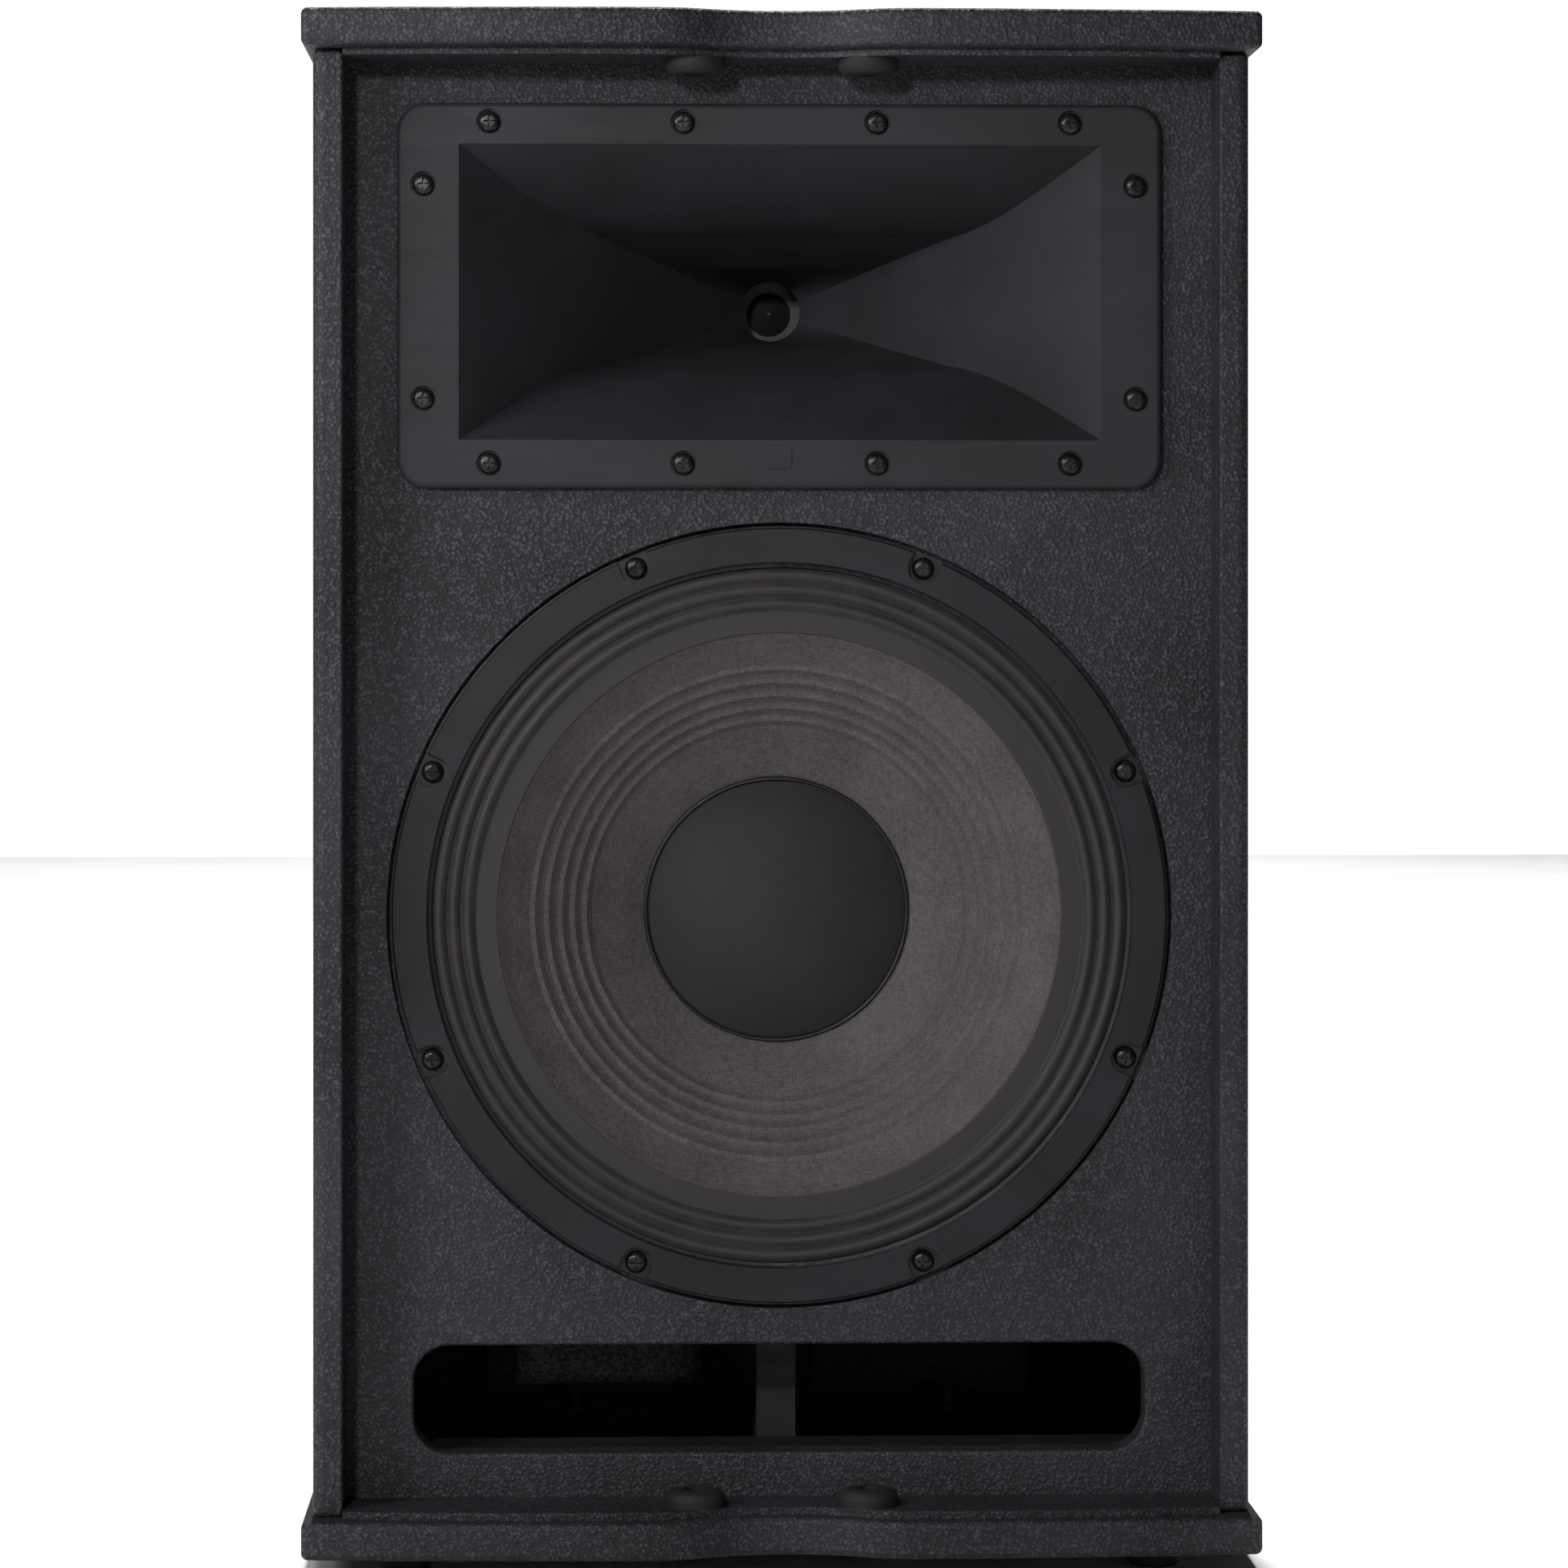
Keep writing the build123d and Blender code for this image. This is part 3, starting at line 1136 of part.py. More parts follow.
def make_crossover():
    """Crossover board on stand-offs behind the connector plate, with its components."""
    with BuildPart() as board:
        with BuildSketch(Plane.XZ.offset(-BOARD_Y)):
            with Locations((0, PLATE_Z)):
                Rectangle(BOARD_W, BOARD_H)
            with Locations(*STANDOFFS):
                Circle(1.7, mode=Mode.SUBTRACT)
        extrude(amount=-1.6)
    save(board.part, "crossover_board")
    with BuildPart() as standoffs:
        with BuildSketch(Plane.XZ.offset(-(WALL_BACK_Y - 2))):
            with Locations(*STANDOFFS):
                RegularPolygon(3.6, 6)
        extrude(amount=WALL_BACK_Y - 2 - BOARD_Y - 1.6)
        with BuildSketch(Plane.XZ.offset(-(BOARD_Y + 1.6))):
            with Locations(*STANDOFFS):
                Circle(1.5)
        extrude(amount=5.0)
        with BuildSketch(Plane.XZ.offset(-BOARD_Y)):
            with Locations(*STANDOFFS):
                RegularPolygon(3.1, 6)
        extrude(amount=2.4)
    save(standoffs.part, "crossover_standoffs")
    with BuildPart() as coils:
        with BuildSketch(Plane.XZ.offset(-BOARD_Y)):
            with Locations((-38, PLATE_Z + 20), (38, PLATE_Z + 20)):
                Circle(19)
                Circle(9, mode=Mode.SUBTRACT)
        extrude(amount=22.0)
        fillet(coils.edges().filter_by(GeomType.CIRCLE).group_by(Axis.Y)[0], 2.0)
    save(coils.part, "crossover_coils")
    with BuildPart() as capacitors:
        for x, z, radius, length in ((0, 32, 8, 30), (-30, -18, 9, 36), (2, 8, 7, 30)):
            centre = (x, BOARD_Y - radius, PLATE_Z + z)
            with BuildSketch(Plane(origin=(centre[0] - length / 2, centre[1], centre[2]), z_dir=(1, 0, 0))):
                Circle(radius)
            extrude(amount=length)
        fillet(capacitors.edges().filter_by(GeomType.CIRCLE), 1.2)
    save(capacitors.part, "crossover_capacitors")
    with BuildPart() as resistors:
        with BuildSketch(Plane.XZ.offset(-BOARD_Y)):
            with Locations((8, PLATE_Z - 16), (30, PLATE_Z - 14)):
                Rectangle(9, 9)
            with Locations((22, PLATE_Z - 35)):
                Rectangle(38, 9)
        extrude(amount=9.0)
    save(resistors.part, "crossover_resistors")


def make_foam():
    """Damping foam on the back panel: one pad behind the horn, one beside the port's exit."""
    with BuildPart() as upper:
        with BuildSketch(Plane.XZ.offset(-BACK_INNER_Y)):
            with Locations((0, 385)):
                Rectangle(210, 70)
        extrude(amount=25.0)
        with BuildSketch(Plane.XZ.offset(-BACK_INNER_Y)):
            with Locations((0, 494)):
                Rectangle(210, 96)
        extrude(amount=25.0)
    save(upper.part, "upper_foam")
    with BuildPart() as lower:
        with BuildSketch(Plane.XZ.offset(-BACK_INNER_Y)):
            with Locations((-60, 100)):
                Rectangle(106, 146)
        extrude(amount=25.0)
    save(lower.part, "lower_foam")


make_lid("top_lid", FOOT_HEIGHT + BODY_HEIGHT, -1)
make_lid("bottom_lid", FOOT_HEIGHT, 1)
make_side_panel("left_side_panel", -1)
make_side_panel("right_side_panel", 1)
make_baffle()
make_back_panel()
make_port_boards()
make_window_brace()
make_feet()
make_bumpers()
make_rigging_inserts()
make_pole_cup()
make_handle("left_handle", -1)
make_handle("right_handle", 1)
make_horn()
make_horn_gasket()
make_horn_screws()
make_compression_driver()
make_basket()
make_woofer_gasket()
make_woofer_screws()
make_surround()
make_cone()
make_dust_cap()
make_voice_coil()
make_spider()
make_magnet_system()
make_woofer_terminals()
make_input_plate()
make_sockets()
make_crossover()
make_foam()
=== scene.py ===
"""Looks of a two-way loudspeaker cabinet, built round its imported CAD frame.

The frame holds every hard piece. This script dresses each of them, stands the pleated rings and
the damping foam in for their plain CAD solids, and sets up the studio.
"""
import logging
import math
from dataclasses import dataclass, field
from enum import Enum

import bmesh
import bpy
import numpy as np
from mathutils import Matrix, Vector


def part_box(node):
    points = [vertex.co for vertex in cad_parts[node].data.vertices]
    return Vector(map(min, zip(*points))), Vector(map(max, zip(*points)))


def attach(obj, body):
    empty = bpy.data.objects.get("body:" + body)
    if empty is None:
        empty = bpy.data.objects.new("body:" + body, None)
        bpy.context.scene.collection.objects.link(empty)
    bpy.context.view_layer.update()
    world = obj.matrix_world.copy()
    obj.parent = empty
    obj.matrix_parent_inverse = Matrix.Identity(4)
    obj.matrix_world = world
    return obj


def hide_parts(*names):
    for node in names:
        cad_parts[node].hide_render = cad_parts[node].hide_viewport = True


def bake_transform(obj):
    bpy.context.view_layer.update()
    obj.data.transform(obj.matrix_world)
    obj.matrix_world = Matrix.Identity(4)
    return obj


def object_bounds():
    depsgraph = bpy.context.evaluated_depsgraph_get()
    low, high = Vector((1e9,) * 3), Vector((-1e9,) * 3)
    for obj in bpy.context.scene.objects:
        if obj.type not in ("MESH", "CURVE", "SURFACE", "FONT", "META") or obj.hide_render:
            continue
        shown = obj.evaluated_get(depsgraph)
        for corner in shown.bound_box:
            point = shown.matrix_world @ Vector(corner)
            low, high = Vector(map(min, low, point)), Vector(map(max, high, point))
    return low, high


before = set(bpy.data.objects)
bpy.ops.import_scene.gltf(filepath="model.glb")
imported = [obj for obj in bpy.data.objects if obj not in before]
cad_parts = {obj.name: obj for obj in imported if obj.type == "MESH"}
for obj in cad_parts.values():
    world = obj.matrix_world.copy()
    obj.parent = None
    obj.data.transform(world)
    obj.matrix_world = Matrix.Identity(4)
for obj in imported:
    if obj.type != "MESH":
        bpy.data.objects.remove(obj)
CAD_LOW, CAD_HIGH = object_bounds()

LOG = logging.getLogger("loudspeaker")
MM = 0.001
FOAM_GAP = (420 * MM, 446 * MM)  # heights between which the window brace parts the upper foam
Colour = tuple[float, float, float]


class Body(Enum):
    """Rigid bodies of the frame."""

    CABINET = "cabinet"
    CONE = "woofer_cone_assembly"
    DIAPHRAGM = "driver_diaphragm_assembly"


# ------------------------------------------------------------------ material graphs
class Graph:
    """A material's node tree, written one node at a time."""

    def __init__(self, name: str) -> None:
        """Start a material with a Principled shader wired to its output.

        Args:
            name: The material's name.
        """
        self.material = bpy.data.materials.new(name)
        self.material.use_nodes = True
        self.tree = self.material.node_tree
        self.shader = self.tree.nodes["Principled BSDF"]
        self.place = self.node("ShaderNodeTexCoord").outputs["Object"]

    def node(self, kind: str, **settings: object) -> bpy.types.Node:
        """Add a node and set its properties.

        Args:
            kind: Blender's node type name.
            settings: Property names and their values.

        Returns:
            The new node.
        """
        made = self.tree.nodes.new(kind)
        for key, value in settings.items():
            setattr(made, key, value)
        return made

    def join(self, source: bpy.types.NodeSocket, target: bpy.types.NodeSocket) -> None:
        """Wire one socket to another.

        Args:
            source: The output that feeds the wire.
            target: The input that it ends at.
        """
        self.tree.links.new(source, target)

    def stretched(self, scale: tuple[float, float, float]) -> bpy.types.NodeSocket:
        """Object coordinates stretched along the axes.

        Args:
            scale: Factor for each axis.

        Returns:
            The socket that carries the stretched position.
        """
        mapping = self.node("ShaderNodeMapping")
        mapping.inputs["Scale"].default_value = scale
        self.join(self.place, mapping.inputs["Vector"])
        return mapping.outputs["Vector"]

    def noise(self, size: float, detail: float = 3.0, rough: float = 0.55,
              place: bpy.types.NodeSocket | None = None) -> bpy.types.NodeSocket:
        """Cloudy noise whose features are about one size across.

        Args:
            size: Feature size in metres.
            detail: Octaves of finer noise.
            rough: Strength of each finer octave.
            place: Position socket, object coordinates if left out.

        Returns:
            The noise value's socket.
        """
        made = self.node("ShaderNodeTexNoise")
        made.inputs["Scale"].default_value = 1.0 / size
        made.inputs["Detail"].default_value = detail
        made.inputs["Roughness"].default_value = rough
        self.join(place or self.place, made.inputs["Vector"])
        return made.outputs["Fac"]

    def cells(self, size: float, feature: str = "F1", smooth: float = 0.0) -> bpy.types.NodeSocket:
        """Distance to scattered cell centres.

        Args:
            size: Cell size in metres.
            feature: Which Voronoi distance to read.
            smooth: Smoothness, for the smooth feature alone.

        Returns:
            The distance's socket.
        """
        made = self.node("ShaderNodeTexVoronoi", feature=feature)
        made.inputs["Scale"].default_value = 1.0 / size
        if feature == "SMOOTH_F1":
            made.inputs["Smoothness"].default_value = smooth
        self.join(self.place, made.inputs["Vector"])
        return made.outputs["Distance"]

    def math(self, operation: str, first: object, second: object = 0.0) -> bpy.types.NodeSocket:
        """One arithmetic step on sockets or numbers.

        Args:
            operation: Blender's name of the operation.
            first: Socket or number.
            second: Socket or number.

        Returns:
            The result's socket.
        """
        made = self.node("ShaderNodeMath", operation=operation)
        for index, value in enumerate((first, second)):
            if isinstance(value, bpy.types.NodeSocket):
                self.join(value, made.inputs[index])
            else:
                made.inputs[index].default_value = value
        return made.outputs[0]

    def spread(self, value: bpy.types.NodeSocket, low: float, high: float,
               to_low: float = 0.0, to_high: float = 1.0) -> bpy.types.NodeSocket:
        """Remap a value from one range to another, clamped.

        Args:
            value: Socket to remap.
            low: Input taken as the bottom.
            high: Input taken as the top.
            to_low: Output at the bottom.
            to_high: Output at the top.

        Returns:
            The remapped value's socket.
        """
        made = self.node("ShaderNodeMapRange")
        for key, number in (("From Min", low), ("From Max", high), ("To Min", to_low), ("To Max", to_high)):
            made.inputs[key].default_value = number
        self.join(value, made.inputs["Value"])
        return made.outputs["Result"]

    def mixed(self, share: bpy.types.NodeSocket, first: object, second: object) -> bpy.types.NodeSocket:
        """Blend two colours.

        Args:
            share: Socket that is 0 for the first colour and 1 for the second.
            first: Colour or socket.
            second: Colour or socket.

        Returns:
            The blended colour's socket.
        """
        made = self.node("ShaderNodeMix", data_type="RGBA")
        self.join(share, made.inputs["Factor"])
        for key, value in (("A", first), ("B", second)):
            socket = next(s for s in made.inputs if s.name == key and s.type == "RGBA")
            if isinstance(value, bpy.types.NodeSocket):
                self.join(value, socket)
            else:
                socket.default_value = (*value, 1.0)
        return next(s for s in made.outputs if s.type == "RGBA")

    def bump(self, height: bpy.types.NodeSocket, depth: float) -> bpy.types.NodeSocket:
        """Relief from a height value.

        Args:
            height: Height from 0 to 1.
            depth: Height in metres at 1.

        Returns:
            The bent normal's socket.
        """
        made = self.node("ShaderNodeBump")
        made.inputs["Strength"].default_value = 1.0
        made.inputs["Distance"].default_value = depth
        self.join(height, made.inputs["Height"])
        return made.outputs["Normal"]

    def finish(self, colour: bpy.types.NodeSocket, rough: bpy.types.NodeSocket,
               normal: bpy.types.NodeSocket, metallic: float = 0.0,
               specular: float = 0.5) -> bpy.types.Material:
        """Wire the surface's values to the shader.

        Args:
            colour: Base colour socket.
            rough: Roughness socket.
            normal: Normal socket.
            metallic: Share of metal, even all over.
            specular: Specular level, even all over.

        Returns:
            The finished material.
        """
        self.join(colour, self.shader.inputs["Base Color"])
        self.join(rough, self.shader.inputs["Roughness"])
        self.join(normal, self.shader.inputs["Normal"])
        self.shader.inputs["Metallic"].default_value = metallic
        self.shader.inputs["Specular IOR Level"].default_value = specular
        return self.material


# ------------------------------------------------------------------ finishes
@dataclass(frozen=True)
class TexturedCoat:
    """Black sprayed polyurea coat: packed pebbles with glossy crowns over plywood."""

    name: str
    # dark is painted shade in the hollows between pebbles, light is a painted highlight on their crowns
    dark: Colour = (0.006, 0.006, 0.009)
    light: Colour = (0.064, 0.062, 0.078)
    pebble: float = 1.5 * MM
    relief: float = 0.60 * MM
    rough: tuple[float, float] = (0.40, 0.68)

    def build(self) -> bpy.types.Material:
        """Pebbles are smooth cells broken up by noise; their crowns are glossier and get a painted highlight,
        and the hollows between them get painted shade.

        Returns:
            The material.
        """
        g = Graph(self.name)
        wobble = g.noise(self.pebble * 2.5, 4.0, 0.6)
        pebbles = g.math("SUBTRACT", 1.0, g.cells(self.pebble, "SMOOTH_F1", 0.35))
        grit = g.noise(self.pebble * 0.45, 2.0, 0.7)
        height = g.math("ADD", g.math("MULTIPLY", pebbles, 0.65), g.math("MULTIPLY", wobble, 0.6))
        height = g.math("ADD", height, g.math("MULTIPLY", grit, 0.3))
        # Painted highlight on the pebble crowns and painted shade in the hollows; the same mask also makes
        # the crowns glossier
        painted_crown_highlight = g.spread(height, 0.78, 1.10)
        drift = g.spread(g.noise(90 * MM, 3.0), 0.3, 0.7)
        colour = g.mixed(painted_crown_highlight, self.dark, self.light)
        paler = tuple(channel * 1.25 for channel in self.light)
        colour = g.mixed(g.math("MULTIPLY", drift, 0.25), colour, paler)
        rough = g.spread(painted_crown_highlight, 0.0, 1.0, self.rough[1], self.rough[0])
        normal = g.bump(height, self.relief)
        return g.finish(colour, rough, normal)


@dataclass(frozen=True)
class Moulding:
    """Injection-moulded plastic with a fine spark-eroded grain and faint flow marks."""

    name: str
    dark: Colour = (0.020, 0.020, 0.022)
    light: Colour = (0.034, 0.034, 0.037)
    grain: float = 0.5 * MM
    relief: float = 0.03 * MM
    rough: tuple[float, float] = (0.36, 0.5)
    specular: float = 0.5

    def build(self) -> bpy.types.Material:
        """Colour drifts in broad clouds; roughness follows the grain and long flow streaks.

        Returns:
            The material.
        """
        g = Graph(self.name)
        clouds = g.spread(g.noise(60 * MM, 4.0), 0.3, 0.7)
        grain = g.noise(self.grain, 2.0, 0.6)
        flow = g.noise(9 * MM, 3.0, 0.6, g.stretched((0.25, 1.0, 1.6)))
        colour = g.mixed(clouds, self.dark, self.light)
        colour = g.mixed(g.spread(grain, 0.55, 0.8, 0.0, 0.35), colour, tuple(c * 1.5 for c in self.light))
        rough = g.spread(g.math("ADD", g.math("MULTIPLY", grain, 0.5), g.math("MULTIPLY", flow, 0.5)),
                         0.35, 0.65, *self.rough)
        normal = g.bump(grain, self.relief)
        return g.finish(colour, rough, normal, 0.0, self.specular)


@dataclass(frozen=True)
class Metal:
    """Plated, painted or bare metal with fine scratches and dull patches."""

    name: str
    dark: Colour
    light: Colour
    rough: tuple[float, float] = (0.28, 0.45)
    metallic: float = 1.0
    scratch: tuple[float, float, float] = (1.0, 1.0, 8.0)
    relief: float = 0.01 * MM

    def build(self) -> bpy.types.Material:
        """Dull patches come from broad noise, scratches from noise squeezed across one axis.

        Returns:
            The material.
        """
        g = Graph(self.name)
        patches = g.spread(g.noise(7 * MM, 5.0, 0.6), 0.3, 0.7)
        lines = g.noise(1.6 * MM, 3.0, 0.6, g.stretched(self.scratch))
        colour = g.mixed(patches, self.dark, self.light)
        wear = g.spread(lines, 0.6, 0.72, 0.0, 0.4)
        colour = g.mixed(wear, colour, tuple(min(1.0, c * 1.5) for c in self.light))
        rough = g.spread(g.math("ADD", g.math("MULTIPLY", patches, 0.5), g.math("MULTIPLY", lines, 0.5)),
                         0.2, 0.8, *self.rough)
        normal = g.bump(lines, self.relief)
        return g.finish(colour, rough, normal, self.metallic)


@dataclass(frozen=True)
class Plywood:
    """Birch plywood: long grain on the faces and thin darker plies through the edge."""

    name: str
    dark: Colour = (0.30, 0.19, 0.10)
    light: Colour = (0.52, 0.38, 0.22)
    ply: float = 1.4 * MM

    def build(self) -> bpy.types.Material:
        """Grain is noise stretched along X; plies are bands along Z.

        Returns:
            The material.
        """
        g = Graph(self.name)
        grain = g.noise(5 * MM, 5.0, 0.6, g.stretched((0.08, 1.0, 1.0)))
        split = g.node("ShaderNodeSeparateXYZ")
        g.join(g.place, split.inputs["Vector"])
        bands = g.math("SINE", g.math("MULTIPLY", split.outputs["Z"], 2 * math.pi / self.ply))
        colour = g.mixed(g.spread(grain, 0.3, 0.7), self.dark, self.light)
        colour = g.mixed(g.spread(bands, -1.0, 1.0, 0.0, 0.18), colour, self.dark)
        rough = g.spread(grain, 0.3, 0.7, 0.55, 0.75)
        return g.finish(colour, rough, g.bump(grain, 0.12 * MM))


@dataclass(frozen=True)
class PressedPaper:
    """Pressed paper pulp: short matted fibres, cloudy tone and a matt face."""

    name: str
    dark: Colour = (0.050, 0.043, 0.045)
    light: Colour = (0.145, 0.126, 0.134)
    fibre: float = 1.5 * MM
    relief: float = 0.09 * MM
    rough: tuple[float, float] = (0.55, 0.8)
    specular: float = 0.4

    def build(self) -> bpy.types.Material:
        """Fibres are two noises, each stretched along its own slant; clouds vary the pulp.

        Returns:
            The material.
        """
        g = Graph(self.name)
        first = g.noise(self.fibre, 4.0, 0.65, g.stretched((0.5, 1.0, 2.2)))
        second = g.noise(self.fibre, 4.0, 0.65, g.stretched((2.2, 1.0, 0.5)))
        fibres = g.math("MAXIMUM", first, second)
        clouds = g.noise(22 * MM, 4.0, 0.6)
        tone = g.math("ADD", g.math("MULTIPLY", fibres, 0.85), g.math("MULTIPLY", clouds, 0.2))
        colour = g.mixed(g.spread(tone, 0.45, 0.75), self.dark, self.light)
        rough = g.spread(fibres, 0.35, 0.75, *self.rough)
        return g.finish(colour, rough, g.bump(fibres, self.relief), 0.0, self.specular)


@dataclass(frozen=True)
class WovenCloth:
    """Resin-doped woven cloth, its threads running round and across the ring."""

    name: str
    dark: Colour
    light: Colour
    centre_z: float
    thread: float = 0.55 * MM
    rough: tuple[float, float] = (0.45, 0.65)

    def build(self) -> bpy.types.Material:
        """Threads are sines of the position along X and Z, crossed, with noise in the dope.

        Returns:
            The material.
        """
        g = Graph(self.name)
        split = g.node("ShaderNodeSeparateXYZ")
        g.join(g.place, split.inputs["Vector"])
        turn = 2 * math.pi / self.thread
        warp = g.math("SINE", g.math("MULTIPLY", split.outputs["X"], turn))
        weft = g.math("SINE", g.math("MULTIPLY", g.math("SUBTRACT", split.outputs["Z"], self.centre_z), turn))
        weave = g.spread(g.math("ADD", warp, weft), -2.0, 2.0)
        dope = g.spread(g.noise(14 * MM, 4.0, 0.6), 0.3, 0.7)
        colour = g.mixed(g.math("ADD", g.math("MULTIPLY", weave, 0.35), g.math("MULTIPLY", dope, 0.65)),
                         self.dark, self.light)
        rough = g.spread(dope, 0.0, 1.0, *self.rough)
        material = g.finish(colour, rough, g.bump(weave, 0.05 * MM))
        g.shader.inputs["Sheen Weight"].default_value = 0.15
        return material


@dataclass(frozen=True)
class OpenFoam:
    """Open-cell foam: pores of two sizes with ragged rims; the rims get a painted highlight and the pores get
    painted shade.
    """

    name: str
    # dark is painted shade down in the pores, light is a painted highlight on the pore rims
    dark: Colour = (0.010, 0.009, 0.009)
    light: Colour = (0.52, 0.50, 0.49)
    pore: float = 2.2 * MM

    def build(self) -> bpy.types.Material:
        """Pores are cells; their walls are the places furthest from the cell centres. The walls are painted
        pale as a painted highlight and the pore middles near black as painted shade.

        Returns:
            The material.
        """
        g = Graph(self.name)
        coarse = g.cells(self.pore)
        fine = g.cells(self.pore * 0.45)
        walls = g.math("ADD", g.math("MULTIPLY", coarse, 0.7), g.math("MULTIPLY", fine, 0.4))
        tone = g.spread(g.math("ADD", walls, g.math("MULTIPLY", g.noise(30 * MM), 0.2)), 0.25, 0.85)
        # Colour follows the walls: rims painted pale as a painted highlight, pores painted near black as
        # painted shade
        colour = g.mixed(tone, self.dark, self.light)
        rough = g.spread(walls, 0.2, 0.9, 0.85, 0.98)
        return g.finish(colour, rough, g.bump(walls, 0.9 * MM))


@dataclass(frozen=True)
class WoundWire:
    """Enamelled wire wound in a coil: fine ridges round the axis under clear varnish."""

    name: str
    # dark is painted shade in the grooves between turns, light is a painted highlight on the wire crests
    dark: Colour = (0.35, 0.10, 0.03)
    light: Colour = (0.85, 0.42, 0.20)
    wire: float = 0.8 * MM

    def build(self) -> bpy.types.Material:
        """Ridges are a sine of the position along the coil's axis, Y; their crests get a painted highlight
        and the grooves between turns painted shade.

        Returns:
            The material.
        """
        g = Graph(self.name)
        split = g.node("ShaderNodeSeparateXYZ")
        g.join(g.place, split.inputs["Vector"])
        turns = g.math("MULTIPLY", split.outputs["Y"], 2 * math.pi / self.wire)
        ridges = g.spread(g.math("SINE", turns), -1, 1)
        varnish = g.noise(5 * MM, 4.0)
        # Ridge crests painted light as a painted highlight, grooves between turns painted dark as painted
        # shade
        colour = g.mixed(ridges, self.dark, self.light)
        rough = g.spread(varnish, 0.3, 0.7, 0.22, 0.4)
        return g.finish(colour, rough, g.bump(ridges, 0.12 * MM), 0.9)


@dataclass(frozen=True)
class SolderMask:
    """Green circuit board with darker copper runs under the lacquer and a glass weave."""

    name: str
    lacquer: Colour = (0.012, 0.085, 0.03)
    copper: Colour = (0.02, 0.15, 0.055)
    run: float = 11 * MM

    def build(self) -> bpy.types.Material:
        """Copper runs are the blocky cells of a square-distance cell pattern.

        Returns:
            The material.
        """
        g = Graph(self.name)
        runs = g.node("ShaderNodeTexVoronoi", distance="CHEBYCHEV")
        runs.inputs["Scale"].default_value = 1 / self.run
        g.join(g.place, runs.inputs["Vector"])
        copper = g.spread(runs.outputs["Distance"], 0.30, 0.34)
        weave = g.noise(0.8 * MM, 2.0)
        colour = g.mixed(copper, self.copper, self.lacquer)
        rough = g.spread(weave, 0.3, 0.7, 0.25, 0.4)
        height = g.math("ADD", g.math("MULTIPLY", copper, 0.8), g.math("MULTIPLY", weave, 0.2))
        return g.finish(colour, rough, g.bump(height, 0.05 * MM))


# ------------------------------------------------------------------ meshes
def finished_mesh(name: str, points: np.ndarray, faces: list[tuple[int, ...]],
                  smooth: bool = True) -> bpy.types.Object:
    """Turn arrays into an object whose faces all point outwards.

    Args:
        name: The object's name.
        points: Vertex positions, one row each, in metres.
        faces: Vertex numbers of each face.
        smooth: Whether the faces shade smoothly.

    Returns:
        The object, linked to the scene.
    """
    mesh = bpy.data.meshes.new(name)
    mesh.from_pydata(points.tolist(), [], faces)
    work = bmesh.new()
    work.from_mesh(mesh)
    bmesh.ops.recalc_face_normals(work, faces=work.faces)
    work.to_mesh(mesh)
    work.free()
    mesh.polygons.foreach_set("use_smooth", np.full(len(mesh.polygons), smooth))
    mesh.update()
    made = bpy.data.objects.new(name, mesh)
    bpy.context.scene.collection.objects.link(made)
    return made


def grid_faces(rows: int, columns: int, wrap: bool) -> list[tuple[int, ...]]:
    """Quads of a grid whose vertices run along its columns first.

    Args:
        rows: Count of vertex rows.
        columns: Count of vertices in a row.
        wrap: Whether the last column joins the first.

    Returns:
        Four vertex numbers for each quad.
    """
    row = np.arange(rows - 1)[:, None]
    last = columns if wrap else columns - 1
    column = np.arange(last)[None, :]
    nxt = (column + 1) % columns
    quads = np.stack([row * columns + column, row * columns + nxt,
                      (row + 1) * columns + nxt, (row + 1) * columns + column], axis=-1)
    return [tuple(quad) for quad in quads.reshape(-1, 4).tolist()]


class Pleat(Enum):
    """Shape of one pleat's section."""

    WAVE = "wave"
    ROLL = "roll"


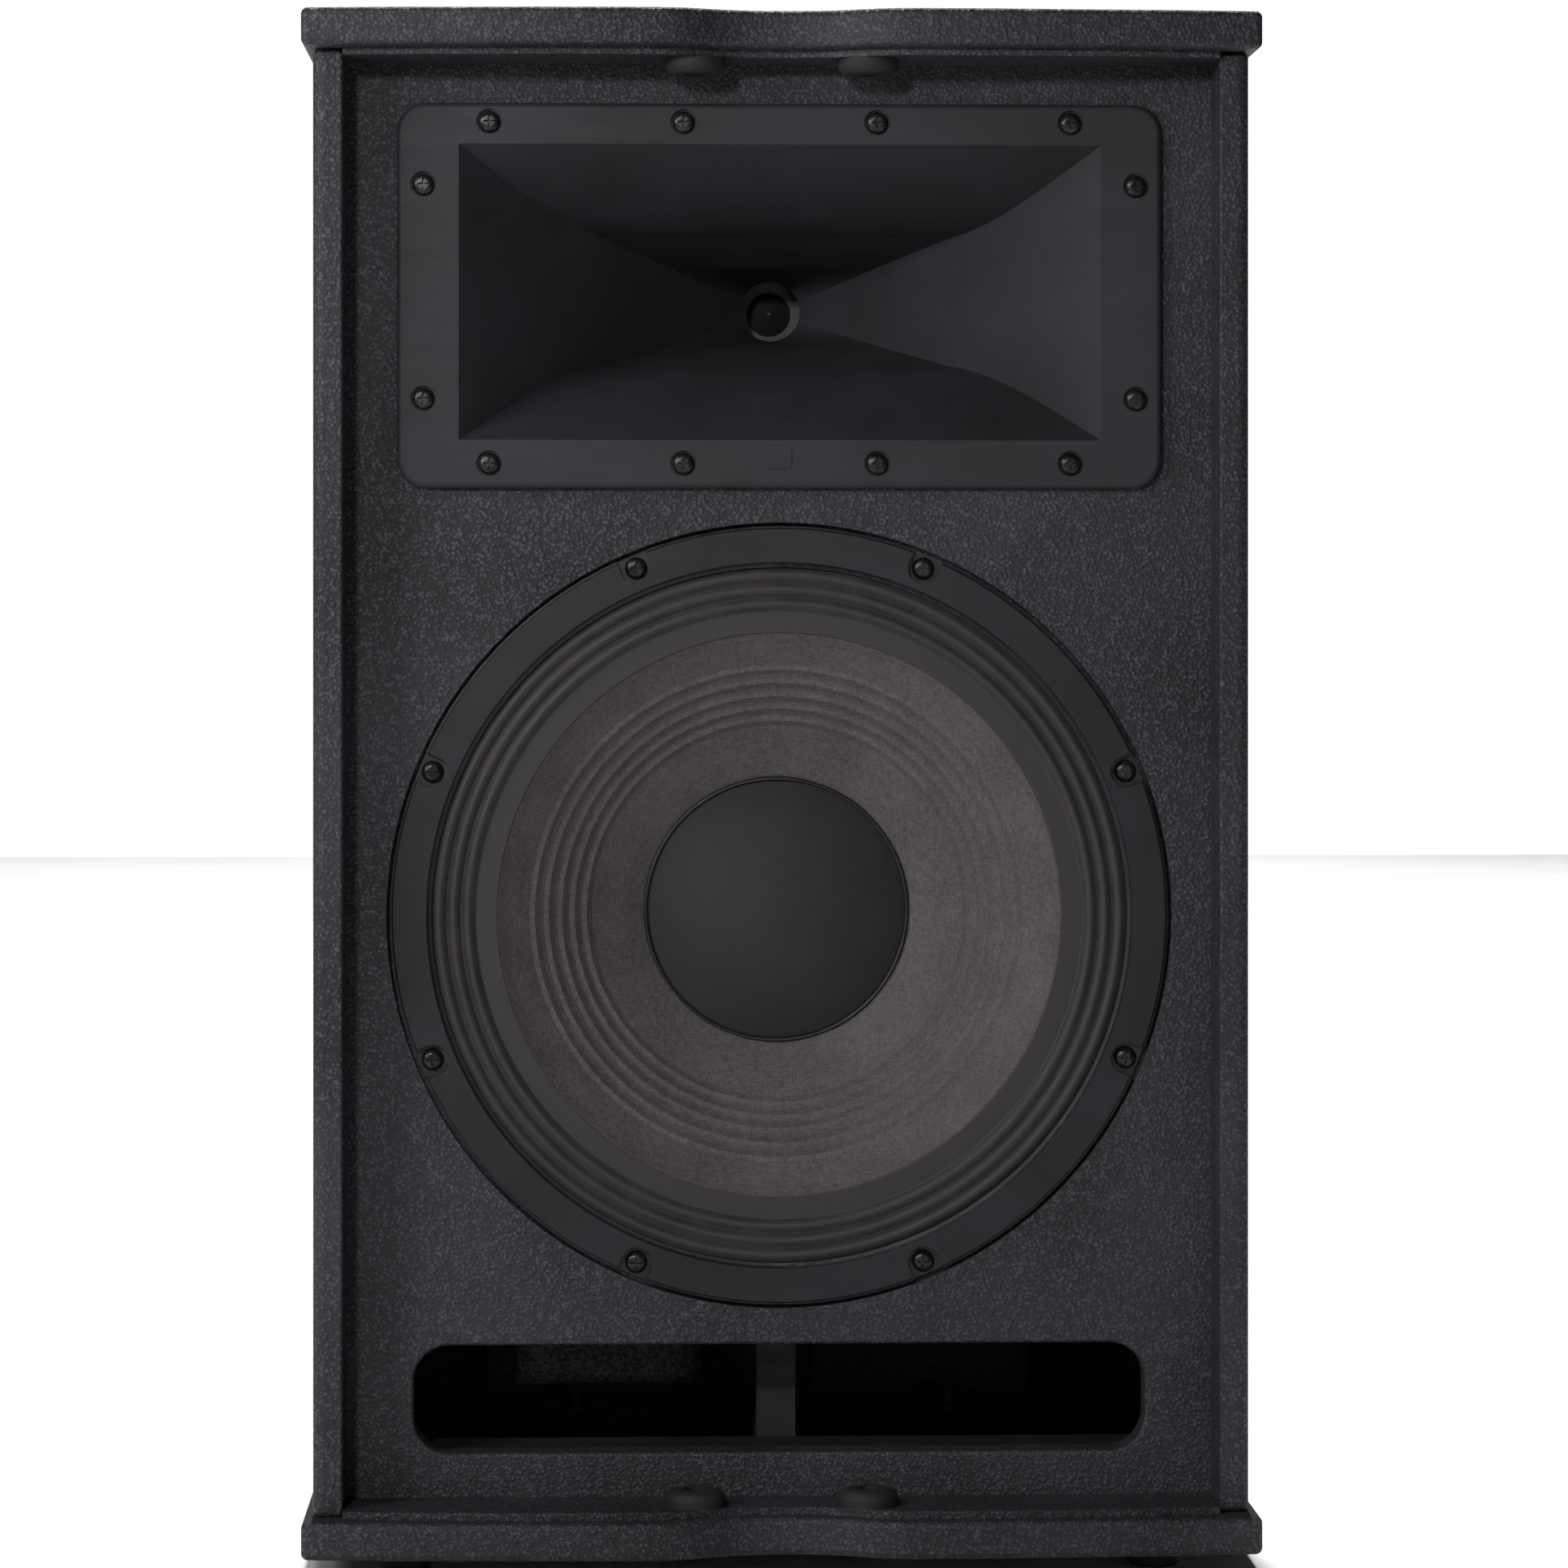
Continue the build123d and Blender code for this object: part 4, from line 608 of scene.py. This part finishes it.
@dataclass
class PleatedRing:
    """Pleated ring between a fixed rim and a moving body, cut into sectors."""

    label: str
    node: str
    body: Body
    slot: str
    finish: object
    start_share: float
    end_share: float
    pleats: float
    pleat_from: float
    pleat_to: float
    lift: float
    thick: float
    sectors: int = 16
    steps_round: int = 18
    steps_across: int = 96
    pleat: Pleat = Pleat.WAVE

    def profile(self) -> tuple[np.ndarray, np.ndarray]:
        """Radius and forward lift along the ring's section.

        Flat at both edges. Between pleat_from and pleat_to a wave's lift is a raised cosine, and a
        roll's lift is the size of a sine, which leaves sharp valleys between round crests.

        Returns:
            Radii in metres and the lift towards the front in metres.
        """
        low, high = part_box(self.node)
        outer = (high[0] - low[0]) / 2
        inner = self.inner_radius()
        radius = np.linspace(inner, outer, self.steps_across)
        share = (radius - inner) / (outer - inner)
        turn = np.clip((share - self.pleat_from) / (self.pleat_to - self.pleat_from), 0, 1)
        if self.pleat is Pleat.ROLL:
            return radius, self.lift * np.abs(np.sin(math.pi * self.pleats * turn)) ** 0.8
        return radius, self.lift * (0.5 - 0.5 * np.cos(2 * math.pi * self.pleats * turn))

    def inner_radius(self) -> float:
        """Find the CAD ring's hole.

        Returns:
            The smallest distance of its points from its own axis, in metres.
        """
        low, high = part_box(self.node)
        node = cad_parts[self.node]
        points = np.empty(len(node.data.vertices) * 3)
        node.data.vertices.foreach_get("co", points)
        points = points.reshape(-1, 3)
        centre_z = (low[2] + high[2]) / 2
        return float(np.hypot(points[:, 0], points[:, 2] - centre_z).min())

    def sector(self, index: int) -> bpy.types.Object:
        """One closed sector: the section, front and back, carried round part of the circle.

        Args:
            index: Number of the sector, counted round the ring.

        Returns:
            The sector's object.
        """
        low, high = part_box(self.node)
        centre_z = (low[2] + high[2]) / 2
        radius, lift = self.profile()
        seat = high[1] if self.lift > 0 else low[1] + self.thick
        front = seat - self.thick - lift
        section_r = np.concatenate([radius, radius[::-1]])
        section_y = np.concatenate([front, (front + self.thick)[::-1]])
        width = 2 * math.pi / self.sectors
        angle = width * (index - 0.5 + np.linspace(0, 1, self.steps_round + 1))[:, None]
        points = np.stack([section_r * np.cos(angle), section_y + 0 * angle,
                           centre_z + section_r * np.sin(angle)], axis=-1)
        rows, columns = points.shape[:2]
        faces = grid_faces(rows, columns, True)
        faces.append(tuple(range(columns)))
        faces.append(tuple(range((rows - 1) * columns, rows * columns)))
        made = finished_mesh(f"{self.label}_sector_{index + 1:02d}", points.reshape(-1, 3), faces)
        self.sharpen_ends(made.data, rows, columns)
        return made

    @staticmethod
    def sharpen_ends(mesh: bpy.types.Mesh, rows: int, columns: int) -> None:
        """Mark the edges of the two cut ends sharp, so the round faces shade as one ring.

        Args:
            mesh: The sector's mesh.
            rows: Vertex rows round the sector.
            columns: Vertices in its section.
        """
        ends = np.empty(len(mesh.edges) * 2, int)
        mesh.edges.foreach_get("vertices", ends)
        row = ends.reshape(-1, 2) // columns
        cut = ((row == 0) | (row == rows - 1)).all(axis=1) & (row[:, 0] == row[:, 1])
        sharp = mesh.attributes.new("sharp_edge", "BOOLEAN", "EDGE")
        sharp.data.foreach_set("value", cut)

    def build(self) -> None:
        """Make every sector, dress it and hide the plain CAD ring."""
        low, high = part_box(self.node)
        inner = self.inner_radius()
        material = self.finish.build()
        for index in range(self.sectors):
            piece = self.sector(index)
            piece.data.materials.append(material)
            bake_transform(piece)
            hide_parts(self.node)
        LOG.info("%s: %d sectors", self.label, self.sectors)


@dataclass
class GlueBead:
    """Bead of glue that seals the dust cap's rim to the cone, coloured near black so that it also gives
    painted shade in the joint.
    """

    label: str
    bead: float = 0.75 * MM
    outside_rim: float = 0.3 * MM
    before_rim: float = 1.0 * MM
    unevenness: float = 0.18
    swells: tuple[int, int] = (7, 3)
    steps_round: int = 240
    steps_bead: int = 12

    def build(self) -> bpy.types.Object:
        """A circle of the bead's radius carried round the cap's rim, swelling a little as it goes.

        Returns:
            The bead's object.
        """
        low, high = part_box("dust_cap")
        rim = (high[0] - low[0]) / 2
        centre_z = (low[2] + high[2]) / 2
        turn = np.linspace(0, 2 * math.pi, self.steps_round, endpoint=False)[:, None]
        around = np.linspace(0, 2 * math.pi, self.steps_bead, endpoint=False)[None, :]
        quick, slow = self.swells
        swell = self.bead * (1 + self.unevenness * np.sin(quick * turn) * np.sin(slow * turn))
        radius = rim + self.outside_rim + swell * np.cos(around)
        points = np.stack([radius * np.cos(turn), high[1] - self.before_rim + swell * np.sin(around),
                           centre_z + radius * np.sin(turn)], axis=-1)
        rows, columns = points.shape[:2]
        faces = grid_faces(rows, columns, True)
        last = (rows - 1) * columns
        faces += [(last + k, last + (k + 1) % columns, (k + 1) % columns, k) for k in range(columns)]
        made = finished_mesh(self.label, points.reshape(-1, 3), faces)
        # Real glue, made near black so that it also paints the shade in the joint between cap and cone
        glue_and_joint_shade = Moulding("black_glue_and_joint_shade", (0.003, 0.003, 0.003), (0.008, 0.008, 0.008), 1.5 * MM,
                        0.05 * MM, (0.3, 0.5))
        made.data.materials.append(glue_and_joint_shade.build())
        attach(made, Body.CONE.value)
        LOG.info("%s built", self.label)
        return made


@dataclass
class FoamPad:
    """Sheet of damping foam, crowned and pinched at its glued rim, with an egg-box face."""

    label: str
    node: str
    from_height: float = -math.inf
    to_height: float = math.inf
    wave: float = 26 * MM
    wave_height: float = 7 * MM
    skin: float = 1.0 * MM
    thinnest: float = 0.4 * MM
    rim_sharpness: int = 9
    edge_pull: float = 0.012
    steps: int = 110

    def build(self) -> bpy.types.Object:
        """Front face: thickness times a soft rim curve, less crossed cosine dimples.

        Returns:
            The pad's object.
        """
        low, high = (np.array(corner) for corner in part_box(self.node))
        low[2], high[2] = max(low[2], self.from_height), min(high[2], self.to_height)
        size = high - low
        u, v = np.meshgrid(np.linspace(-1, 1, self.steps), np.linspace(-1, 1, self.steps), indexing="ij")
        rim = np.sqrt((1 - np.abs(u) ** self.rim_sharpness) * (1 - np.abs(v) ** self.rim_sharpness))
        pull = 1 - self.edge_pull * ((1 - u * u) * np.abs(v) + (1 - v * v) * np.abs(u))
        x = (low[0] + high[0]) / 2 + u * size[0] / 2 * pull
        z = (low[2] + high[2]) / 2 + v * size[2] / 2 * pull
        dimple = 0.5 - 0.25 * (np.cos(2 * math.pi * x / self.wave) + np.cos(2 * math.pi * z / self.wave))
        depth = rim * (size[1] - self.skin - self.wave_height * dimple)
        back = np.full_like(x, high[1])
        front = np.minimum(high[1] - depth, high[1] - self.thinnest)
        points = np.concatenate([np.stack([x, front, z], -1).reshape(-1, 3),
                                 np.stack([x, back, z], -1).reshape(-1, 3)])
        count = self.steps * self.steps
        faces = grid_faces(self.steps, self.steps, False)
        faces += [tuple(number + count for number in face[::-1]) for face in faces]
        edge = np.arange(self.steps)
        rims = [edge * self.steps, edge * self.steps + self.steps - 1, edge, edge + count - self.steps]
        for side in rims:
            faces += [(a, b, b + count, a + count) for a, b in zip(side[:-1].tolist(), side[1:].tolist())]
        pad = finished_mesh(self.label, points, faces)
        pad.data.materials.append(OpenFoam("grey_foam").build())
        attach(pad, Body.CABINET.value)
        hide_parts(self.node)
        LOG.info("%s built", self.label)
        return pad


# ------------------------------------------------------------------ sub-assemblies
def dress(nodes: dict[str, bpy.types.Material]) -> None:
    """Give CAD nodes their finishes.

    Args:
        nodes: Node names and the material of each.
    """
    for name, material in nodes.items():
        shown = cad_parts[name]
        shown.data.materials.clear()
        shown.data.materials.append(material)
        LOG.info("%s dressed in %s", name, material.name)


@dataclass
class Cabinet:
    """Boards, port, feet, bumpers, handles, rigging points and pole cup."""

    boards: tuple[str, ...] = ("top_lid", "bottom_lid", "left_side_panel", "right_side_panel",
                               "baffle", "back_panel")
    port_boards: tuple[str, ...] = ("port_shelf", "port_strip", "port_brace")

    def build(self) -> None:
        """Dress the cabinet's own pieces."""
        coat = TexturedCoat("textured_coat").build()
        port = Moulding("painted_port", (0.008, 0.007, 0.0065), (0.020, 0.017, 0.016), 1.1 * MM, 0.08 * MM,
                        (0.55, 0.8)).build()
        rubber = Moulding("black_rubber", (0.010, 0.010, 0.011), (0.022, 0.022, 0.023), 0.8 * MM, 0.05 * MM,
                          (0.6, 0.8), 0.35).build()
        handle = Moulding("grained_plastic", (0.014, 0.014, 0.015), (0.026, 0.026, 0.028), 0.9 * MM,
                          0.10 * MM, (0.45, 0.62)).build()
        zinc = Metal("zinc_plate", (0.42, 0.42, 0.40), (0.66, 0.66, 0.63)).build()
        dress({name: coat for name in self.boards})
        dress({name: port for name in self.port_boards})
        dress({"window_brace": Plywood("bare_plywood").build()})
        dress({"rubber_feet": rubber, "grille_bumpers": rubber})
        dress({"left_handle": handle, "right_handle": handle, "pole_cup": handle})
        dress({"foot_screws": zinc,
               "rigging_inserts": Metal("black_zinc", (0.02, 0.02, 0.02), (0.05, 0.05, 0.05), (0.4, 0.55),
                                        0.8).build()})
        screws = BlackScrews()
        dress({name: screws.material() for name in screws.cabinet_nodes})


@dataclass
class BlackScrews:
    """Black-oxide screws with dull patches and fine bright scratches."""

    cabinet_nodes: tuple[str, ...] = ("bumper_screws", "pole_cup_screws", "left_handle_screws",
                                      "right_handle_screws", "input_plate_screws", "socket_screws")

    def material(self) -> bpy.types.Material:
        """Make the screws' material on first use and hand back the same one after that.

        Returns:
            The material.
        """
        found = bpy.data.materials.get("black_oxide")
        if found is None:
            found = Metal("black_oxide", (0.012, 0.012, 0.013), (0.05, 0.05, 0.052), (0.24, 0.36),
                          0.7).build()
        return found


@dataclass
class Horn:
    """Horn, gasket and the compression driver behind it."""

    def build(self) -> None:
        """Dress the horn and driver, and hang the diaphragm's suspension."""
        moulding = Moulding("horn_moulding", (0.019, 0.0185, 0.022), (0.030, 0.029, 0.036), 0.45 * MM,
                            0.02 * MM, (0.5, 0.65), 0.28).build()
        foam = Moulding("gasket_foam", (0.008, 0.008, 0.008), (0.016, 0.016, 0.016), 0.6 * MM, 0.1 * MM,
                        (0.8, 0.95), 0.3).build()
        steel = Metal("black_passivate", (0.04, 0.04, 0.042), (0.09, 0.09, 0.09), (0.35, 0.5), 0.8).build()
        ferrite = Moulding("ferrite", (0.035, 0.035, 0.038), (0.07, 0.07, 0.074), 1.5 * MM, 0.08 * MM,
                           (0.5, 0.7)).build()
        titanium = Metal("titanium_foil", (0.45, 0.45, 0.47), (0.68, 0.68, 0.70), (0.25, 0.4)).build()
        plastic = Moulding("driver_plastic").build()
        contact = Metal("tinned_brass", (0.60, 0.48, 0.26), (0.85, 0.74, 0.48), (0.25, 0.4)).build()
        dress({"horn": moulding, "horn_gasket": foam, "horn_screws": BlackScrews().material()})
        dress({"driver_pole_plate": steel, "driver_top_plate": steel, "driver_magnet": ferrite})
        dress({"phase_plug": plastic, "diaphragm_ring": plastic, "driver_rear_cover": plastic})
        dress({"driver_diaphragm": titanium, "driver_terminals": contact,
               "driver_voice_coil": WoundWire("driver_wire", wire=0.25 * MM).build(),
               "driver_bolts": Metal("bolt_zinc", (0.42, 0.42, 0.40), (0.66, 0.66, 0.63)).build()})
        PleatedRing("diaphragm_edge", "driver_suspension", Body.DIAPHRAGM, "titanium",
                    Metal("titanium_edge", (0.45, 0.45, 0.47), (0.68, 0.68, 0.70)),
                    start_share=0.9, end_share=0.1, pleats=1, pleat_from=0.1, pleat_to=0.9,
                    lift=-1.0 * MM, thick=0.25 * MM, sectors=12, steps_round=8, steps_across=24).build()


@dataclass
class Woofer:
    """Woofer: frame, trim ring, pleated edge, cone, cap, coil, spider and magnet system."""

    centre_z: float = field(default_factory=lambda: sum(c[2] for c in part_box("woofer_gasket")) / 2)

    def build(self) -> None:
        """Dress the woofer's hard pieces and make its two pleated rings."""
        steel = Metal("motor_passivate", (0.04, 0.04, 0.042), (0.09, 0.09, 0.09), (0.35, 0.5), 0.8).build()
        # Black basket enamel, darkened further as painted shade in the notches round the trim ring
        basket = Metal("basket_enamel_and_notch_shade", (0.006, 0.006, 0.007), (0.014, 0.014, 0.015), (0.35, 0.5),
                       0.0).build()
        trim = Moulding("trim_ring", (0.009, 0.0085, 0.011), (0.020, 0.019, 0.025), 0.7 * MM, 0.08 * MM,
                        (0.40, 0.58), 0.32).build()
        ferrite = Moulding("woofer_ferrite", (0.035, 0.035, 0.038), (0.07, 0.07, 0.074), 1.5 * MM, 0.08 * MM,
                           (0.5, 0.7)).build()
        dress({"woofer_basket": basket, "woofer_gasket": trim, "woofer_screws": BlackScrews().material()})
        dress({"woofer_cone": PressedPaper("cone_pulp").build(),
               "dust_cap": PressedPaper("cap_pulp", (0.016, 0.016, 0.017), (0.032, 0.032, 0.033), 1.0 * MM,
                                        0.05 * MM, (0.6, 0.8), 0.35).build()})
        dress({"woofer_top_plate": steel, "woofer_back_plate": steel, "woofer_magnet": ferrite,
               "voice_coil": WoundWire("voice_coil_wire", wire=0.4 * MM).build()})
        phenolic = Moulding("phenolic", (0.06, 0.025, 0.012), (0.12, 0.055, 0.025)).build()
        brass = Metal("terminal_brass", (0.60, 0.48, 0.26), (0.85, 0.74, 0.48)).build()
        dress({"woofer_terminal_strip": phenolic, "woofer_terminals": brass})
        edge = WovenCloth("doped_edge_cloth", (0.014, 0.011, 0.010), (0.034, 0.028, 0.027), self.centre_z,
                          rough=(0.5, 0.68))
        PleatedRing("woofer_edge", "woofer_surround", Body.CONE, "surround_cloth", edge,
                    start_share=0.72, end_share=0.275, pleats=3, pleat_from=0.27, pleat_to=0.797,
                    lift=2.4 * MM, thick=0.8 * MM, pleat=Pleat.ROLL).build()
        GlueBead("cap_glue").build()
        cotton = WovenCloth("spider_cotton", (0.34, 0.20, 0.07), (0.62, 0.42, 0.18), self.centre_z, 0.8 * MM)
        PleatedRing("woofer_centring", "woofer_spider", Body.CONE, "spider_cloth", cotton,
                    start_share=0.92, end_share=0.08, pleats=7, pleat_from=0.1, pleat_to=0.9,
                    lift=2.6 * MM, thick=0.7 * MM, sectors=12, steps_round=16, steps_across=112).build()


@dataclass
class Electrics:
    """Connector plate, sockets and crossover."""

    def build(self) -> None:
        """Dress the electrical pieces."""
        plate = Metal("powder_coat", (0.014, 0.014, 0.015), (0.028, 0.028, 0.030), (0.45, 0.6), 0.0,
                      relief=0.04 * MM).build()
        nylon = Moulding("socket_nylon", (0.012, 0.012, 0.013), (0.022, 0.022, 0.024), 0.4 * MM, 0.02 * MM,
                         (0.28, 0.42)).build()
        contact = Metal("contact_plate", (0.60, 0.48, 0.26), (0.85, 0.74, 0.48), (0.25, 0.4)).build()
        cement = Moulding("white_cement", (0.55, 0.54, 0.50), (0.72, 0.71, 0.67), 0.9 * MM, 0.12 * MM,
                          (0.7, 0.9)).build()
        film = Moulding("yellow_film", (0.45, 0.30, 0.03), (0.62, 0.45, 0.06), 2.0 * MM, 0.01 * MM,
                        (0.2, 0.35)).build()
        dress({"input_plate": plate, "speaker_sockets": nylon, "socket_contacts": contact})
        dress({"crossover_board": SolderMask("solder_mask").build(), "crossover_standoffs": contact,
               "crossover_coils": WoundWire("inductor_wire", wire=1.1 * MM).build(),
               "crossover_capacitors": film, "crossover_resistors": cement})


@dataclass
class Studio:
    """Pale floor, soft lights and the camera."""

    distance: float = 2.0
    side_step: float = -0.07
    eye_height: float = 0.38
    fill_of_frame: float = 0.9922
    floor_size: float = 12.0
    glow: float = 0.02

    def camera(self) -> None:
        """Stand the camera level in front of the cabinet, turned to face its middle."""
        low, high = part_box("top_lid")
        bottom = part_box("bottom_lid")[0][2]
        tall = high[2] - bottom
        middle = (high[2] + bottom) / 2
        frame_height = tall / self.fill_of_frame
        lens = bpy.data.cameras.new("studio_camera")
        lens.sensor_width = 36.0
        lens.lens = lens.sensor_width * self.distance / frame_height
        lens.shift_y = (middle - self.eye_height) / frame_height
        eye = bpy.data.objects.new("studio_camera", lens)
        eye.location = (self.side_step, low[1] - self.distance, self.eye_height)
        eye.rotation_euler = (math.radians(90), 0, math.atan2(self.side_step, self.distance))
        bpy.context.scene.collection.objects.link(eye)
        bpy.context.scene.camera = eye

    def light(self, name: str, place: tuple[float, float, float], aim: tuple[float, float, float],
              size: tuple[float, float], watts: float) -> None:
        """Hang one softbox.

        Args:
            name: The light's name.
            place: Its middle, in metres.
            aim: The point that it faces.
            size: Its width and height.
            watts: Its power.
        """
        lamp = bpy.data.lights.new(name, "AREA")
        lamp.shape = "RECTANGLE"
        lamp.size, lamp.size_y = size
        lamp.energy = watts
        hung = bpy.data.objects.new(name, lamp)
        hung.location = place
        hung.rotation_euler = (Vector(aim) - Vector(place)).to_track_quat("-Z", "Y").to_euler()
        bpy.context.scene.collection.objects.link(hung)

    def spot(self, name: str, place: tuple[float, float, float], aim: tuple[float, float, float],
             spread: float, watts: float) -> None:
        """Hang one spotlight with a soft-edged pool.

        Args:
            name: The light's name.
            place: Its middle, in metres.
            aim: The point that it faces.
            spread: Full angle of its cone in degrees.
            watts: Its power.
        """
        lamp = bpy.data.lights.new(name, "SPOT")
        lamp.energy = watts
        lamp.spot_size = math.radians(spread)
        lamp.spot_blend = 0.3
        lamp.shadow_soft_size = 0.4
        hung = bpy.data.objects.new(name, lamp)
        hung.location = place
        hung.rotation_euler = (Vector(aim) - Vector(place)).to_track_quat("-Z", "Y").to_euler()
        bpy.context.scene.collection.objects.link(hung)

    def floor(self) -> None:
        """Lay the pale floor."""
        half = self.floor_size / 2
        points = np.array([(-half, -half, 0), (half, -half, 0), (half, half, 0), (-half, half, 0)])
        ground = finished_mesh("studio_floor", points, [(0, 1, 2, 3)], False)
        g = Graph("pale_floor")
        tone = g.spread(g.noise(0.4, 3.0), 0.3, 0.7)
        colour = g.mixed(tone, (0.80, 0.80, 0.80), (0.84, 0.84, 0.84))
        rough = g.spread(tone, 0.0, 1.0, 0.55, 0.65)
        ground.data.materials.append(g.finish(colour, rough, g.bump(tone, 0.1 * MM)))

    def world(self) -> None:
        """Surround the set with a faint glow in front of a white backdrop."""
        world = bpy.data.worlds.new("studio_world")
        world.use_nodes = True
        tree = world.node_tree
        glow = tree.nodes["Background"]
        glow.inputs["Color"].default_value = (0.93, 0.95, 1.0, 1.0)
        glow.inputs["Strength"].default_value = self.glow
        paper = tree.nodes.new("ShaderNodeBackground")
        paper.inputs["Strength"].default_value = 1.4
        seen = tree.nodes.new("ShaderNodeLightPath").outputs["Is Camera Ray"]
        mix = tree.nodes.new("ShaderNodeMixShader")
        tree.links.new(seen, mix.inputs["Fac"])
        tree.links.new(glow.outputs["Background"], mix.inputs[1])
        tree.links.new(paper.outputs["Background"], mix.inputs[2])
        tree.links.new(mix.outputs["Shader"], tree.nodes["World Output"].inputs["Surface"])
        bpy.context.scene.world = world

    def build(self) -> None:
        """Set up camera, floor, glow and softboxes."""
        self.camera()
        self.floor()
        self.world()
        front = (0.0, CAD_LOW[1], (CAD_LOW[2] + CAD_HIGH[2]) / 2)
        self.light("key_softbox", (-0.42, -1.6, 0.86), front, (0.12, 0.12), 8.0)
        self.light("left_softbox", (-1.2, -1.25, 0.85), front, (0.35, 0.4), 7.5)
        self.light("edge_softbox", (-0.52, -0.40, 0.74), (-0.19, CAD_LOW[1], CAD_HIGH[2]), (0.15, 0.3), 1.1)
        self.light("low_fill", (0.25, -2.4, 0.26), (-0.05, 0.13, 0.05), (0.3, 0.3), 1.3)
        self.spot("floor_spot", (0.0, 3.0, 5.0), (0.0, 3.0, 0.0), 80.0, 2000.0)
        bpy.context.scene.view_settings.view_transform = "Standard"
        LOG.info("studio ready")


def main() -> None:
    """Build the loudspeaker's looks in order."""
    logging.basicConfig(level=logging.INFO, format="%(name)s: %(message)s")
    Studio().build()
    Cabinet().build()
    Horn().build()
    Woofer().build()
    Electrics().build()
    FoamPad("foam_above_brace", "upper_foam", from_height=FOAM_GAP[1]).build()
    FoamPad("foam_below_brace", "upper_foam", to_height=FOAM_GAP[0]).build()
    FoamPad("lower_foam_pad", "lower_foam").build()


if __name__ == "__main__":
    main()
